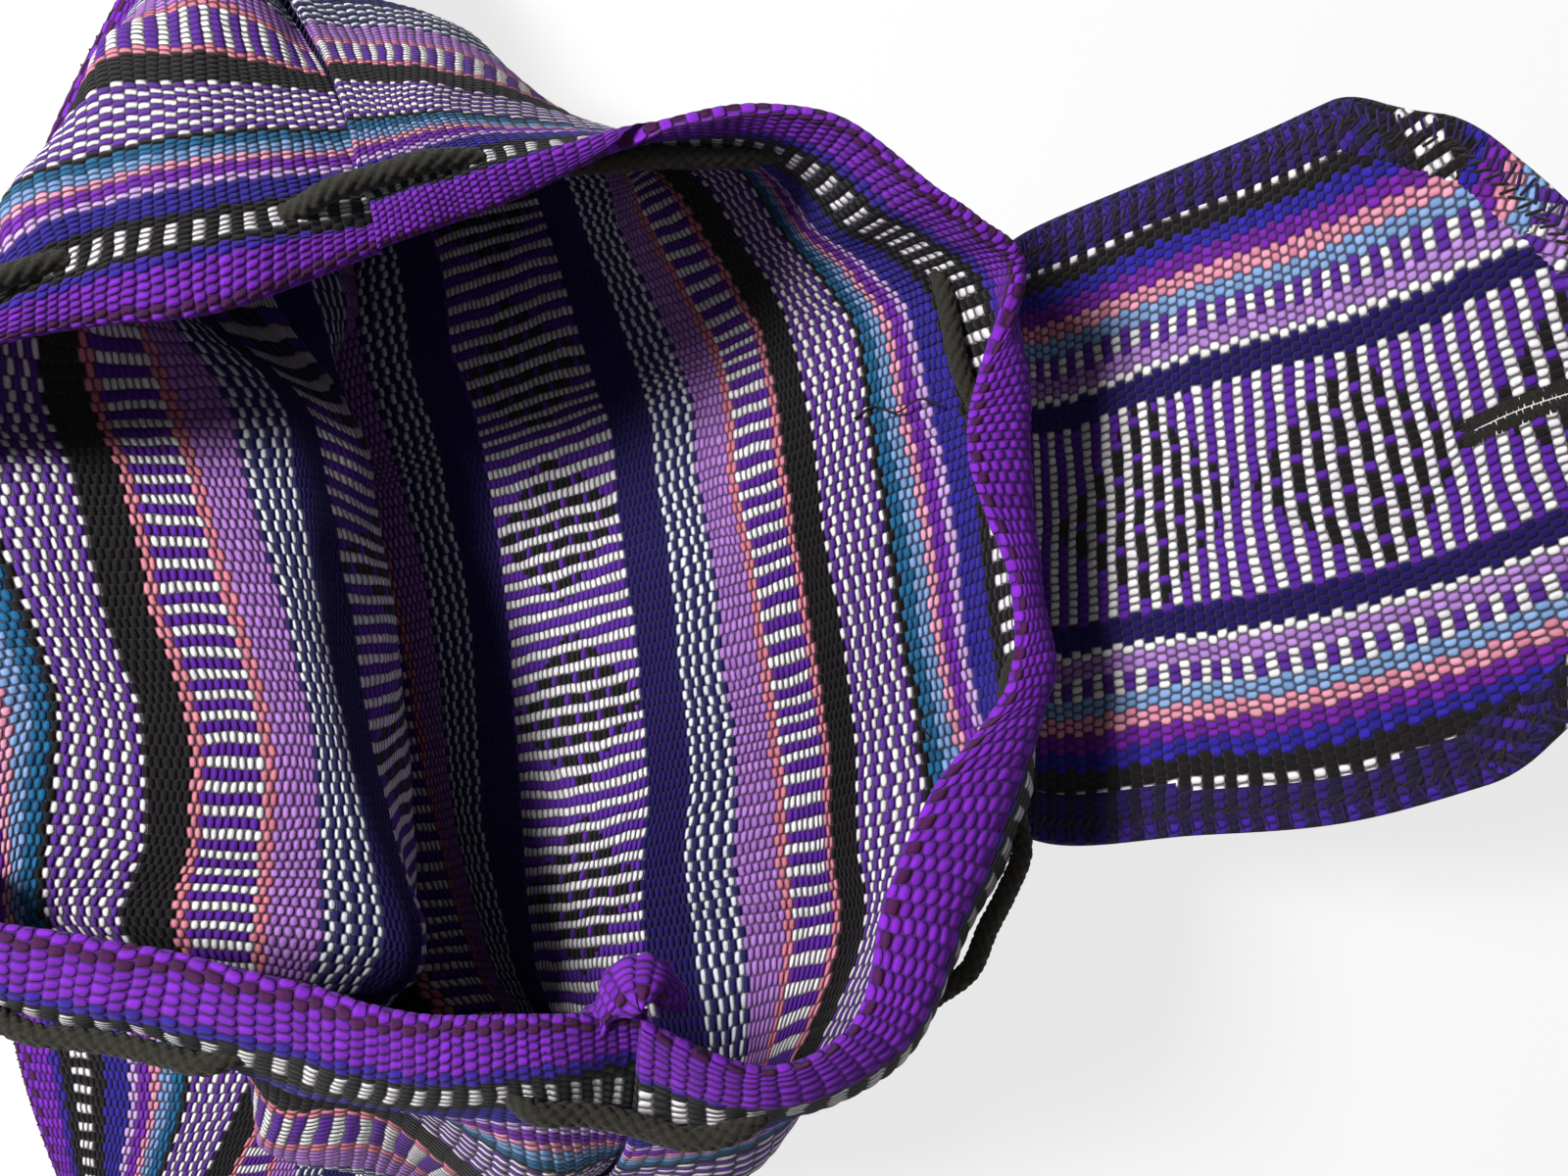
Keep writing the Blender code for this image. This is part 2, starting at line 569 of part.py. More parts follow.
def tube_cutter(name, points, radius, material_used):
    """A fatter cord as a mesh, to cut the drawstring's holes."""
    made = tube(name, points, np.ones(len(points)), radius, material_used)
    bpy.context.view_layer.update()
    graph = bpy.context.evaluated_depsgraph_get()
    mesh = bpy.data.meshes.new_from_object(made.evaluated_get(graph))
    bpy.data.objects.remove(made)
    worked = bmesh.new()
    worked.from_mesh(mesh)
    bmesh.ops.remove_doubles(worked, verts=worked.verts, dist=1e-6)
    bmesh.ops.recalc_face_normals(worked, faces=worked.faces)
    worked.to_mesh(mesh)
    worked.free()
    cutter = bpy.data.objects.new(name, mesh)
    bpy.context.scene.collection.objects.link(cutter)
    return helper(cutter)


def build_panels(cloth):
    """The two woven panels."""
    depths = np.concatenate([HEM_ROWS, np.linspace(PANEL_ROWS_FROM, PANEL_DEPTH, PANEL_ROWS)])
    thickness = cloth_thickness(depths)
    columns = np.linspace(0, PANEL_WIDTH, BACK_COLUMNS)
    back = thick_sheet("back_panel", back_surface(columns, depths), thickness, cloth)
    columns = np.linspace(0, PANEL_WIDTH, FRONT_COLUMNS)
    front = thick_sheet("front_panel", front_surface(columns, depths), thickness, cloth)
    return back, front


def build_drawstring(dark, panels):
    """The drawstring, and the holes it is threaded through."""
    route = cord_route()
    line = even(route, CORD_STEP)
    radii = np.ones(len(line))
    radii[1] = KNOT_SCALE
    radii[-2] = KNOT_SCALE
    cord = tube("drawstring", line, radii, CORD / 2, dark)
    cutter = tube_cutter("drawstring_holes", line, CORD / 2 + CORD_HOLE_CLEAR, dark)
    for panel in panels:
        cut(panel, cutter)
    return cord


def flap_base_row(depth, columns):
    """A row of the flap's sewn edge, on the outside of the back panel."""
    points = back_surface(columns, [depth])[:, 0]
    return points + outward(back_surface, columns, depth) * (CLOTH + TOUCH)


def flap_surface(lengths, widths):
    """The middle of the flap's cloth at every length from the hinge and every place across it."""
    columns = FLAP_MIDDLE - widths
    sewn = flap_base_row(FLAP_SEWN_AT, columns)
    leaves = flap_base_row(FLAP_LEAVES_AT, columns)
    rows = []
    stations = []
    for at, top, middle, bottom in FLAP_NET:
        stations.append(at)
        rows.append(through([-FLAP_HALF_WIDTH, 0, FLAP_HALF_WIDTH], [bottom, middle, top], widths))
    knee = (leaves + rows[0]) / 2
    knee[:, 0] = FLAP_KNEE[0]
    knee[:, 2] = FLAP_KNEE[1]
    rows = np.stack([sewn, leaves, knee, *rows])
    stations = np.array([FLAP_SEWN_LENGTH, FLAP_LEAVES_LENGTH, FLAP_KNEE_LENGTH, *stations])
    return np.stack([through(stations, rows[:, j], lengths) for j in range(len(widths))], axis=1)


def build_flap(cloth):
    """The flap, with turned hems, cut corners and a worked slot for the button."""
    free = np.linspace(FLAP_KNEE_LENGTH, FLAP_TIP_LENGTH, FLAP_ROWS)
    lengths = np.concatenate([[FLAP_SEWN_LENGTH, FLAP_LEAVES_LENGTH], free])
    shares = np.linspace(-1, 1, FLAP_COLUMNS)
    outline = np.interp(lengths, [o[0] for o in FLAP_OUTLINE], [o[1] for o in FLAP_OUTLINE])
    points = np.empty((len(lengths), len(shares), 3))
    thickness = np.full((len(lengths), len(shares)), CLOTH)
    for i, (length, half) in enumerate(zip(lengths, outline)):
        widths = shares * half
        points[i] = flap_surface([length], widths)[0]
        from_edge = np.minimum(half - np.abs(widths), FLAP_TIP_LENGTH - length)
        thickness[i] = np.where((from_edge < FLAP_HEM) & (length > FLAP_KNEE_LENGTH), HEM, CLOTH)
    flap = thick_sheet("flap", points, thickness, cloth)
    places = BUTTONHOLE_AT + SURFACE_STEP * np.array([-1.0, 0.0, 1.0])
    middle = flap_surface(places, SURFACE_STEP * np.array([-1.0, 0.0, 1.0]))
    along = unit(middle[2, 1] - middle[0, 1])
    side = unit(middle[1, 2] - middle[1, 0])
    up = unit(np.cross(along, side))
    box = np.array([(x, y, z) for x in (-1, 1) for y in (-1, 1) for z in (-1, 1)], float)
    box = box * (BUTTONHOLE_LENGTH / 2, BUTTONHOLE_WIDTH / 2, BUTTONHOLE_CUT / 2)
    corners = middle[1, 1] + box @ np.stack([along, side, up])
    faces = [(0, 1, 3, 2), (4, 6, 7, 5), (0, 4, 5, 1), (2, 3, 7, 6), (0, 2, 6, 4), (1, 5, 7, 3)]
    cut(flap, helper(mesh_object("buttonhole", corners, faces, cloth, smooth=False)))
    return flap


def turn(x, top, bottom, way):
    """A strap's turn back under itself, from the layer above to the one below."""
    radius = (top - bottom) / 2
    angles = np.radians(np.linspace(0, 180, STRAP_TURN_POINTS + 2))[1:-1]
    middle = (top + bottom) / 2
    return [(x + way * radius * np.sin(a), middle + radius * np.cos(a)) for a in angles]


def strap_places(plan):
    """A strap's way from the back panel's top, folded under the bag, to the bottom corner."""
    sewn_depths = np.linspace(STRAP_SEWN_FROM, STRAP_SEWN_TO, STRAP_SEWN_POINTS)
    away = CLOTH / 2 + TOUCH + STRAP_THICKNESS / 2
    column = plan["column"]
    sewn = []
    for depth in sewn_depths:
        point = back_surface([column], [depth])[0]
        sewn.append((point + outward(back_surface, [column], depth) * away)[0])
    low = STRAP_THICKNESS / 2
    layers = [low + 2 * STRAP_LAYER, low + STRAP_LAYER, low]
    left = plan["fold_left"]
    right = plan["fold_right"]
    y = plan["y"]
    flat = [(left + STRAP_LEAD_IN, layers[0]), (left, layers[0]), *turn(left, layers[0], layers[1], -1)]
    flat += [(left, layers[1]), ((left + right) / 2, layers[1]), (right, layers[1])]
    flat += [*turn(right, layers[1], layers[2], 1), (right, layers[2]), ((left + right) / 2, layers[2])]
    places = [tuple(p) for p in sewn] + list(plan["drop"])
    places += [(x, y, z) for x, z in flat]
    places += [(x, aside, low) for x, aside, _ in plan["way"]]
    turned = len(places) - len(plan["way"])
    return places, turned


def build_strap(name, plan, web):
    """The strap's solid: straight runs between its places, with its width kept level."""
    places, turned = strap_places(plan)
    places = np.array(places)
    drop = STRAP_SEWN_POINTS + len(plan["drop"])
    sides = np.zeros_like(places)
    column = plan["column"]
    first = back_surface([column - SURFACE_STEP, column + SURFACE_STEP], [STRAP_SEWN_FROM])[:, 0]
    start = unit(first[0] - first[1])
    for i in range(len(places)):
        share = np.clip(i / (drop - 1), 0, 1)
        sides[i] = start * (1 - share) + np.array([0.0, 1.0, 0.0]) * share
    for i, (_, _, heading) in enumerate(plan["way"]):
        angle = np.radians(heading)
        sides[turned + i] = (np.sin(angle), np.cos(angle), 0.0)
    sides = unit(sides)
    tangents = unit(np.gradient(places, axis=0))
    ups = unit(np.cross(tangents, sides))
    return ribbon(name, places, sides, ups, web)


def build_button(wood):
    """A round wooden button on the outside of the front panel."""
    point = front_surface([BUTTON_COLUMN], [BUTTON_DEPTH])[0]
    way = -outward(front_surface, [BUTTON_COLUMN], BUTTON_DEPTH)[0]
    centre = point[0] + way * (CLOTH / 2 + BUTTON_SHANK + BUTTON_THICKNESS / 2)
    bpy.ops.mesh.primitive_cylinder_add(
        vertices=BUTTON_SIDES, radius=BUTTON_DIAMETER / 2 * MM, depth=BUTTON_THICKNESS * MM
    )
    button = bpy.context.active_object
    button.name = "button"
    moved = (centre + (SHIFT_X, SHIFT_Y, 0.0)) * MM
    button.location = Vector(moved)
    button.rotation_mode = "QUATERNION"
    button.rotation_quaternion = Vector(way).to_track_quat("Z", "Y")
    button.data.materials.append(wood)
    bevel = button.modifiers.new("Round", "BEVEL")
    bevel.width = BUTTON_ROUND * MM
    bevel.segments = BUTTON_ROUND_STEPS
    for side in (-1, 1):
        bpy.ops.mesh.primitive_cylinder_add(
            vertices=BUTTON_HOLE_SIDES, radius=BUTTON_HOLE / 2 * MM, depth=3 * BUTTON_THICKNESS * MM
        )
        hole = bpy.context.active_object
        hole.name = f"button_hole_{side}"
        turn_by = button.rotation_quaternion
        hole.location = button.location + turn_by @ Vector((side * BUTTON_HOLE_SPACING / 2 * MM, 0, 0))
        hole.rotation_mode = "QUATERNION"
        hole.rotation_quaternion = turn_by
        cut(button, helper(hole))
    return button


def main():
    """Clears the scene and builds the backpack."""
    for old in list(bpy.data.objects):
        bpy.data.objects.remove(old)
    cloth = material("woven_cotton", (0.16, 0.05, 0.32), 0.9)
    web = material("woven_cotton_web", (0.05, 0.03, 0.12), 0.9)
    dark = material("braided_cord", (0.035, 0.034, 0.032), 0.85)
    wood = material("turned_wood", (0.25, 0.14, 0.07), 0.5)
    panels = build_panels(cloth)
    build_drawstring(dark, panels)
    build_flap(cloth)
    build_strap("left_strap", LEFT_STRAP, web)
    build_strap("right_strap", RIGHT_STRAP, web)
    build_button(wood)


main()
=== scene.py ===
"""Looks of a handwoven drawstring backpack that lies open on its back, its button flap thrown out behind it.

Every size is in millimetres or in pitches of the woven bars until a mesh is made. X runs from the bag's
bottom towards its mouth and flap, Y runs across the bag, and Z is up from the table.
"""

import logging
import math
from collections.abc import Callable, Sequence
from dataclasses import dataclass
from enum import Enum
from functools import partial
from typing import Any

import bmesh
import bpy
import numpy as np
from bpy.types import Material, Mesh, NodeSocket, NodeTree, Object, ShaderNode
from mathutils import Matrix, Vector


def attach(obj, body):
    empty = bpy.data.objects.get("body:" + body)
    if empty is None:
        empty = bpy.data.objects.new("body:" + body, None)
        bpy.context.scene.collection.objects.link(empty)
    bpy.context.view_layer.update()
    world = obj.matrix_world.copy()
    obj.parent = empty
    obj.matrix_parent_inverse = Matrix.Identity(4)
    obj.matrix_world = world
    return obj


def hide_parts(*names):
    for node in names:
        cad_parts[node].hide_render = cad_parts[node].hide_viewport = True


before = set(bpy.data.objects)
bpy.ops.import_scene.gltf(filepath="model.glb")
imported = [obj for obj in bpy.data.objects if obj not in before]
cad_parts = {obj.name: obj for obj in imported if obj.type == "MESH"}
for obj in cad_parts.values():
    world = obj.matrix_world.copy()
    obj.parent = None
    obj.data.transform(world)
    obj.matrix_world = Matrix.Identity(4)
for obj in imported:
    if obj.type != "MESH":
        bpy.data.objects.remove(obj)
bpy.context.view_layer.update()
LOG = logging.getLogger("backpack")

# A millimetre in metres, and a pitch of the woven bars in millimetres.
MM = 0.001
PITCH = 5.5
# Each panel, in pitches round the mouth and down from it.
PANEL_WIDTH = 78.0
PANEL_DEPTH = 63.1
# How thick the cloth is, in millimetres, and how thick its hem, which ends so many pitches down.
CLOTH = 2.5
HEM = 4.4
HEM_DEPTH = 2.4
HEM_EASE = 0.6
# The gap between pieces that are sewn together, in millimetres.
TOUCH = 0.35
# The step, in pitches, at which a surface's directions are read.
SURFACE_STEP = 0.4
# The lowest height of each panel's middle.
BACK_FLOOR = 4.4
FRONT_FLOOR = 7.6
# The front's edge at a side seam: how far it is off the back's cloth and in from its edge, in millimetres,
# and the depths between which it moves out to the edge.
SEAM_STEP = 1.0
SEAM_LAP = 0.6
LAP_BEGINS_AT = 12.0
LAP_ENDS_AT = 26.0
# From the nets' origin to the middle of the bag's footprint.
SHIFT = np.array([26.35, -10.05, 0.0])
UP = np.array([0.0, 0.0, 1.0])
# A line is read at so many points for each millimetre before its new points are spaced evenly.
FINE_POINTS_PER_MM = 2
# A line whose direction has a smaller share than this beside the upright one counts as standing upright.
STANDS_UPRIGHT = 0.1
WHITE_LIGHT = (1.0, 1.0, 1.0, 1.0)

# How wide one pair of bars is, in pitches, at pitches round each panel: the cloth is drawn out where pulled.
BACK_BARS = [
    (0, 0.95), (12, 0.92), (20, 1.0), (28, 1.08), (42, 1.08), (48, 1.2), (54, 1.3), (60, 1.4), (66, 1.38),
    (72, 1.2), (78, 1.05),
]
FRONT_BARS = [
    (0, 1.05), (16, 1.1), (24, 1.14), (32, 1.1), (40, 1.03), (46, 1.12), (52, 1.3), (58, 1.45), (64, 1.4),
    (70, 1.1), (78, 1.0),
]
BAR_SAMPLES = 400
FLAP_BARS_PER_PITCH = 1.064
FLAP_PATTERN_MIDDLE = 0.25
# The ribs' round backs: the power that flattens them, and the height that stays level with the cloth.
RIB_FLATNESS = 0.7
RIB_MIDDLE = 0.5
# The thinnest the cloth gets at an edge, as a share of the way in to its full thickness.
EDGE_BLUNTNESS = 0.02
# Soft waves of the cloth: the height of each one's share, how close it is each way, and where it starts.
WAVES = (
    (1.0, 0.62, 0.35, 0.9), (1.0, 0.31, -0.83, 2.1), (1.0, 1.27, 0.22, 4.0), (0.7, 0.9, -1.35, 1.2),
    (0.6, 1.9, 0.6, 0.4),
)

Array = np.ndarray
Net = list[tuple[float, list[tuple[float, float, float, float]]]]
"""Columns of a draped panel: pitches round the mouth, then (pitches from the mouth, x, y, z) down it."""
Surface = Callable[[Any, Any], Array]
"""The middle of a panel's cloth: columns and depths in, a grid of points out."""
Socket = Any
"""A node socket, or the plain value that is set on one."""

# The net of control points that the draped back panel hangs on. Each column runs from the mouth to the
# bottom seam at one place round the panel, counted in pitches from the first side seam. Its points are
# (pitches from the mouth, x, y, z).
BACK_NET: Net = [
    (0, [(0, -90, 75, 113), (2.3, -91, 83, 114), (4.1, -93, 87, 112), (10.5, -99, 106, 108),
        (15.9, -106, 121, 100), (21.6, -115, 135, 90), (27, -125, 153, 80), (33, -124, 180, 62),
        (40, -127, 205, 38), (47, -138, 220, 16), (52, -151, 222, 7), (57, -168, 217, 4.8),
        (63.1, -188, 205, 4.5)]),
    (10, [(0, -53, 91, 108), (2.3, -54, 96, 110), (4.1, -55, 99, 108), (10.5, -63, 109, 98),
        (15.9, -67, 121, 84), (20, -73, 133, 65), (25, -84, 150, 38), (31.5, -104, 150, 11),
        (40, -130, 146, 6), (46, -150, 146, 4.5), (55, -187, 150, 4.5), (63.1, -216, 159, 4.5)]),
    (15, [(0, -22, 107, 106), (2.3, -22, 106, 103), (4.1, -22, 106, 96), (10.5, -28, 116, 62),
        (15.9, -43, 125, 34), (20, -50, 126, 20), (25, -70, 128, 12), (31.5, -96, 125, 9), (40, -126, 117, 6),
        (46, -148, 115, 4.5), (55, -192, 122, 4.5), (63.1, -227, 134, 4.5)]),
    (20, [(0, 11, 109, 102), (2.3, 6, 105, 96), (4.1, 2, 104, 87), (10.5, -12, 112, 58), (13.8, -21, 112, 46),
        (17.8, -36, 109, 32), (23, -54, 107, 17), (31.5, -88, 101, 9), (40, -123, 91, 6),
        (45.3, -152, 84, 4.5), (55, -192, 95, 4.5), (63.1, -235, 106, 4.5)]),
    (24, [(0, 31, 96, 100), (2.3, 23, 94, 92), (4.1, 17, 93, 80), (10.5, 0, 94, 56), (13.8, -10, 94, 47),
        (17.8, -26, 91, 36), (23, -46, 88, 22), (31.5, -83, 79, 10), (40, -120, 68, 6), (45.3, -147, 61, 4.5),
        (55, -193, 70, 4.5), (63.1, -240, 82, 4.5)]),
    (28, [(0, 46, 86, 97), (2.3, 38, 86, 88), (4.1, 31, 86, 76), (10.5, 9, 83, 54), (13.8, -1, 80, 46),
        (17.8, -15, 73, 38), (23, -38, 67, 26), (31.5, -76, 58, 12), (40, -113, 47, 6), (45.3, -140, 39, 4.5),
        (55, -194, 46, 4.5), (63.1, -244, 57, 4.5)]),
    (32, [(0, 57, 77, 93), (2.3, 50, 78, 84), (4.1, 42, 77, 72), (10.5, 18, 70, 52), (13.8, 4, 65, 46),
        (17.8, -10, 59, 39), (23, -33, 54, 28), (31.5, -71, 43, 14), (40, -110, 33, 6), (45.3, -136, 27, 4.5),
        (55, -195, 24, 4.5), (63.1, -247, 32, 4.5)]),
    (37, [(0, 47, 51, 88), (2.3, 58, 54, 82), (4.1, 50, 53, 68), (10.5, 22, 45, 50), (13.8, 9, 39, 46),
        (17.8, -7, 33, 42), (23, -29, 27, 32), (31.5, -67, 16, 18), (40, -104, 6, 6), (45.3, -129, 0, 4.5),
        (55, -196, -2, 4.5), (63.1, -249, 3, 4.5)]),
    (42, [(0, 45, 31, 86), (2.3, 59, 32, 80), (4.1, 55, 30, 66), (10.5, 27, 19, 48), (13.8, 12, 14, 45),
        (17.8, -3, 8, 43), (23, -25, 1, 36), (31.5, -63, -10, 22), (40, -100, -20, 7), (45.3, -122, -26, 4.5),
        (55, -196, -24, 4.5), (63.1, -249, -22, 4.5)]),
    (48, [(0, 57, 0, 82), (2.3, 63, 0, 75), (4.1, 59, -3, 62), (10.5, 31, -13, 46), (13.8, 17, -18, 44),
        (17.8, 2, -25, 43), (23, -22, -31, 38), (31.5, -59, -40, 28), (40, -98, -48, 8),
        (45.3, -118, -52, 4.5), (55, -196, -51, 4.5), (63.1, -248, -54, 4.5)]),
    (53, [(0, 55, -24, 84), (2.3, 66, -22, 76), (4.1, 62, -26, 62), (10.5, 36, -37, 46), (13.8, 20, -41, 44),
        (17.8, 5, -46, 43), (23, -20, -52, 39), (31.5, -56, -62, 33), (40, -96, -70, 9),
        (45.3, -112, -73, 4.5), (55, -198, -77, 4.5), (63.1, -246, -80, 4.5)]),
    (58.5, [(0, 36, -46, 96), (2.3, 55, -45, 88), (4.1, 62, -51, 72), (10.5, 38, -64, 50),
        (13.8, 21, -68, 46), (17.8, 7, -72, 44), (23, -21, -77, 40), (31.5, -57, -85, 34), (40, -91, -94, 9),
        (45.3, -107, -97, 4.5), (55, -200, -105, 4.5), (63.1, -243, -109, 4.5)]),
    (64.5, [(0, 23, -70, 108), (2.3, 39, -75, 104), (4.1, 43, -82, 92), (10.5, 30, -91, 54),
        (13.8, 23, -94, 47), (17.8, 8, -97, 44), (23, -18, -102, 40), (31.5, -57, -109, 34),
        (40, -84, -116, 11), (45.3, -100, -118, 4.5), (55, -202, -132, 4.5), (63.1, -236, -139, 4.5)]),
    (70, [(0, 14, -95, 120), (2.3, 22, -101, 117), (4.1, 23, -108, 108), (10.5, 17, -118, 66),
        (13.8, 11, -124, 52), (17.8, -1, -130, 46), (23, -16, -138, 40), (31.5, -53, -138, 33),
        (40, -76, -141, 12), (45.3, -92, -142, 5), (55, -198, -155, 4.5), (63.1, -228, -166, 4.5)]),
    (74, [(0, -5, -100, 129), (2.3, -5, -107, 128), (4.1, -5, -113, 121), (10.5, -7, -132, 92),
        (13.8, -9, -147, 74), (17.8, -16, -158, 52), (23, -27, -162, 34), (31.5, -58, -168, 17),
        (40, -97, -170, 6), (45.3, -122, -172, 4.5), (55, -184, -175, 4.5), (63.1, -221, -183, 4.5)]),
    (78, [(0, -30, -90, 129), (2.3, -31, -100, 127), (4.1, -33, -113, 117), (10.5, -41, -141, 86),
        (15, -50, -158, 60), (22, -70, -178, 31), (28, -92, -188, 12), (34, -115, -193, 6),
        (40, -139, -196, 4.6), (52, -181, -202, 4.5), (63.1, -212, -200, 4.5)]),
]

# The same for the front panel, which is pushed down and folded back on itself.
FRONT_NET: Net = [
    (8, [(0, -130, 60, 113), (2.3, -129, 73, 116), (4.1, -129, 79, 116), (10.5, -132, 101, 112),
        (15.9, -137, 121, 104), (19.1, -141, 135, 97), (24, -147, 153, 86), (31, -150, 176, 66),
        (37, -158, 192, 44), (41, -162, 188, 31), (45, -156, 173, 25), (49, -148, 160, 19),
        (53, -158, 158, 13), (58, -184, 165, 12), (63.1, -208, 174, 7.7)]),
    (12, [(0, -153, 58, 112), (2.3, -151, 68, 115), (4.1, -150, 75, 115), (10.5, -154, 97, 110),
        (13.8, -157, 112, 105), (15.9, -160, 119, 100), (17.8, -163, 126, 93), (21, -167, 130, 80),
        (27, -176, 139, 54), (32, -181, 143, 37), (36, -171, 141, 28), (41, -150, 133, 24),
        (46, -142, 129, 17), (51, -156, 131, 12.5), (57, -190, 137, 12), (63.1, -224, 142, 7.7)]),
    (16, [(0, -175, 54, 111), (2.3, -172, 61, 113), (4.1, -170, 67, 113), (6.7, -172, 75, 112),
        (9.85, -176, 87, 107), (13.8, -178, 90, 96), (17.8, -170, 86, 80), (24, -166, 84, 58),
        (30, -162, 85, 40), (35, -152, 87, 31), (40, -134, 88, 25), (44, -129, 88, 17), (49, -142, 91, 12.5),
        (56, -188, 99, 12), (63.1, -234, 114, 7.7)]),
    (21, [(0, -216, 38, 107), (2.3, -211, 42, 105), (4.1, -207, 46, 101), (7, -205, 50, 92),
        (10.5, -203, 51, 80), (13.8, -191, 51, 69), (17.8, -172, 53, 60), (21.65, -150, 54, 56),
        (24.35, -139, 54, 52), (26.8, -135, 53, 48), (29.5, -126, 49, 41), (34, -127, 52, 31),
        (40, -134, 58, 22), (47, -152, 64, 14), (55, -194, 74, 12), (63.1, -240, 86, 7.7)]),
    (27, [(0, -242, 14, 104), (2.3, -235, 16, 100), (4.1, -228, 17, 95), (10.5, -195, 24, 82),
        (13.8, -178, 25, 76), (17.8, -158, 25, 69), (21.65, -138, 25, 65), (24.35, -128, 25, 61),
        (26.8, -124, 24, 56), (29.5, -116, 19, 46), (34, -118, 20, 33), (40, -127, 23, 22),
        (47, -149, 29, 14), (55, -194, 39, 12), (63.1, -245, 55, 7.7)]),
    (33, [(0, -243, -22, 104), (2.3, -236, -19, 101), (4.1, -227, -16, 98), (10.5, -180, -5, 89),
        (13.8, -167, -5, 84), (17.8, -146, -5, 79), (21.65, -125, -6, 76), (24.35, -118, -7, 72),
        (26.8, -115, -8, 65), (29.5, -109, -8, 52), (34, -112, -8, 36), (40, -120, -6, 23),
        (47, -143, -2, 14), (55, -192, 6, 12), (63.1, -249, 22, 7.7)]),
    (39, [(0, -228, -54, 107), (2.3, -221, -51, 104), (4.1, -212, -48, 100), (8.3, -184, -31, 93),
        (13.8, -156, -34, 87), (17.8, -136, -34, 83), (21.65, -117, -35, 80), (24.35, -111, -36, 77),
        (26.8, -108, -38, 70), (29.5, -106, -37, 57), (34, -108, -36, 39), (40, -116, -35, 24),
        (47, -140, -31, 14), (55, -192, -24, 12), (63.1, -250, -10, 7.7)]),
    (44, [(0, -205, -72, 112), (2.3, -199, -69, 108), (4.1, -193, -65, 101), (9, -181, -56, 94),
        (13.8, -155, -59, 88), (17.8, -135, -61, 85), (21.65, -114, -62, 82), (24.35, -104, -63, 79),
        (26.8, -100, -65, 73), (29.5, -103, -64, 60), (34, -105, -64, 42), (40, -113, -62, 25),
        (47, -138, -59, 14), (55, -191, -53, 12), (63.1, -249, -37, 7.7)]),
    (50, [(0, -171, -73, 118), (2.3, -174, -86, 115), (4.1, -180, -92, 106), (10.5, -173, -81, 92),
        (13.8, -159, -82, 89), (17.8, -136, -84, 86), (21.65, -114, -87, 83), (24.35, -101, -90, 79),
        (27.5, -93, -95, 71), (30, -100, -94, 58), (34, -104, -92, 42), (40, -112, -90, 25),
        (47, -138, -87, 14), (55, -191, -82, 12), (63.1, -247, -70, 7.7)]),
    (56, [(0, -136, -77, 122), (2.3, -139, -91, 120), (4.1, -143, -98, 111), (10.5, -143, -100, 94),
        (17.8, -131, -107, 84), (23, -121, -113, 76), (27, -112, -113, 64), (33, -110, -113, 40),
        (40, -118, -111, 22), (47, -142, -109, 14), (55, -192, -107, 12), (63.1, -243, -101, 7.7)]),
    (62, [(0, -103, -83, 127), (2.3, -104, -97, 125), (4.1, -108, -104, 118), (5.35, -112, -110, 110),
        (10.5, -119, -113, 94), (15.5, -122, -123, 88), (17.8, -127, -133, 80), (21.65, -136, -146, 62),
        (26, -135, -146, 46), (32, -124, -138, 30), (40, -127, -134, 18), (47, -147, -133, 13.5),
        (55, -191, -132, 12), (63.1, -238, -130, 7.7)]),
    (68, [(0, -76, -88, 131), (2.3, -77, -101, 129), (4.1, -80, -109, 122), (5.35, -84, -114, 114),
        (10.5, -91, -117, 97), (15.5, -95, -125, 90), (17.8, -99, -133, 83), (21.65, -107, -150, 66),
        (26, -114, -161, 46), (32, -118, -162, 26), (40, -134, -158, 15), (47, -156, -157, 13),
        (55, -191, -157, 12), (63.1, -232, -155, 7.7)]),
    (73, [(0, -53, -88, 132), (2.3, -52, -99, 131), (4.1, -53, -108, 123), (6.7, -56, -118, 112),
        (10.5, -58, -138, 92), (15.9, -72, -158, 66), (22, -92, -168, 43), (28, -107, -174, 25),
        (34, -123, -177, 15), (40, -143, -179, 12.5), (52, -186, -183, 12), (63.1, -223, -180, 7.7)]),
]

# Where the drawstring passes through the cloth, between its first place and its last one: it runs outside
# the cloth, then inside it, and so on by turns. Pitches run round the mouth: 0 to 78 on the back panel, then
# 78 to 156 back along the front panel.
CORD_CROSSINGS = (
    -36.0, -28.0, -20.5, -14.0, -4.0, 7.0, 19.0, 31.0, 39.0, 51.5, 60.0, 67.0, 74.0, 84.0, 96.0, 106.0,
    112.0, 114.0,
)
# The two free ends hang from the middle of the front and lie on the table: (x, y, z).
FIRST_TAIL = [
    (-232, -40, 84), (-250, -36, 62), (-262, -32, 34), (-272, -27, 13), (-288, -20, 5.2), (-306, -12, 4.8),
]
LAST_TAIL = [
    (-224, -60, 84), (-246, -62, 64), (-259, -64, 38), (-268, -68, 14), (-281, -75, 5.2), (-300, -84, 4.8),
]

# The flap from its hinge to its tip: (pitches from the hinge, then x, y, z of its two edges and middle).
FLAP_NET = [
    (0.0, (66, 98, 45), (69, 14, 45), (70, -70, 45)),
    (6.6, (94, 107, 60), (101, 21, 61), (108, -65, 62)),
    (12.1, (116, 112, 79), (124, 25, 80), (139, -58, 81)),
    (18.0, (134, 117, 95), (151, 32, 96), (172, -44, 97)),
    (22.1, (151, 121, 107), (168, 41, 108), (195, -33, 109)),
    (26.2, (169, 127, 117), (188, 47, 118), (214, -28, 119)),
]
FLAP_KNEE = (57, 49)
# Half the flap's width, in pitches, where its corners are cut: (pitches from the hinge, half width).
FLAP_OUTLINE = [(-9.0, 15.0), (18.0, 15.0), (19.7, 13.7), (22.3, 12.2), (25.0, 7.7), (26.2, 5.2)]

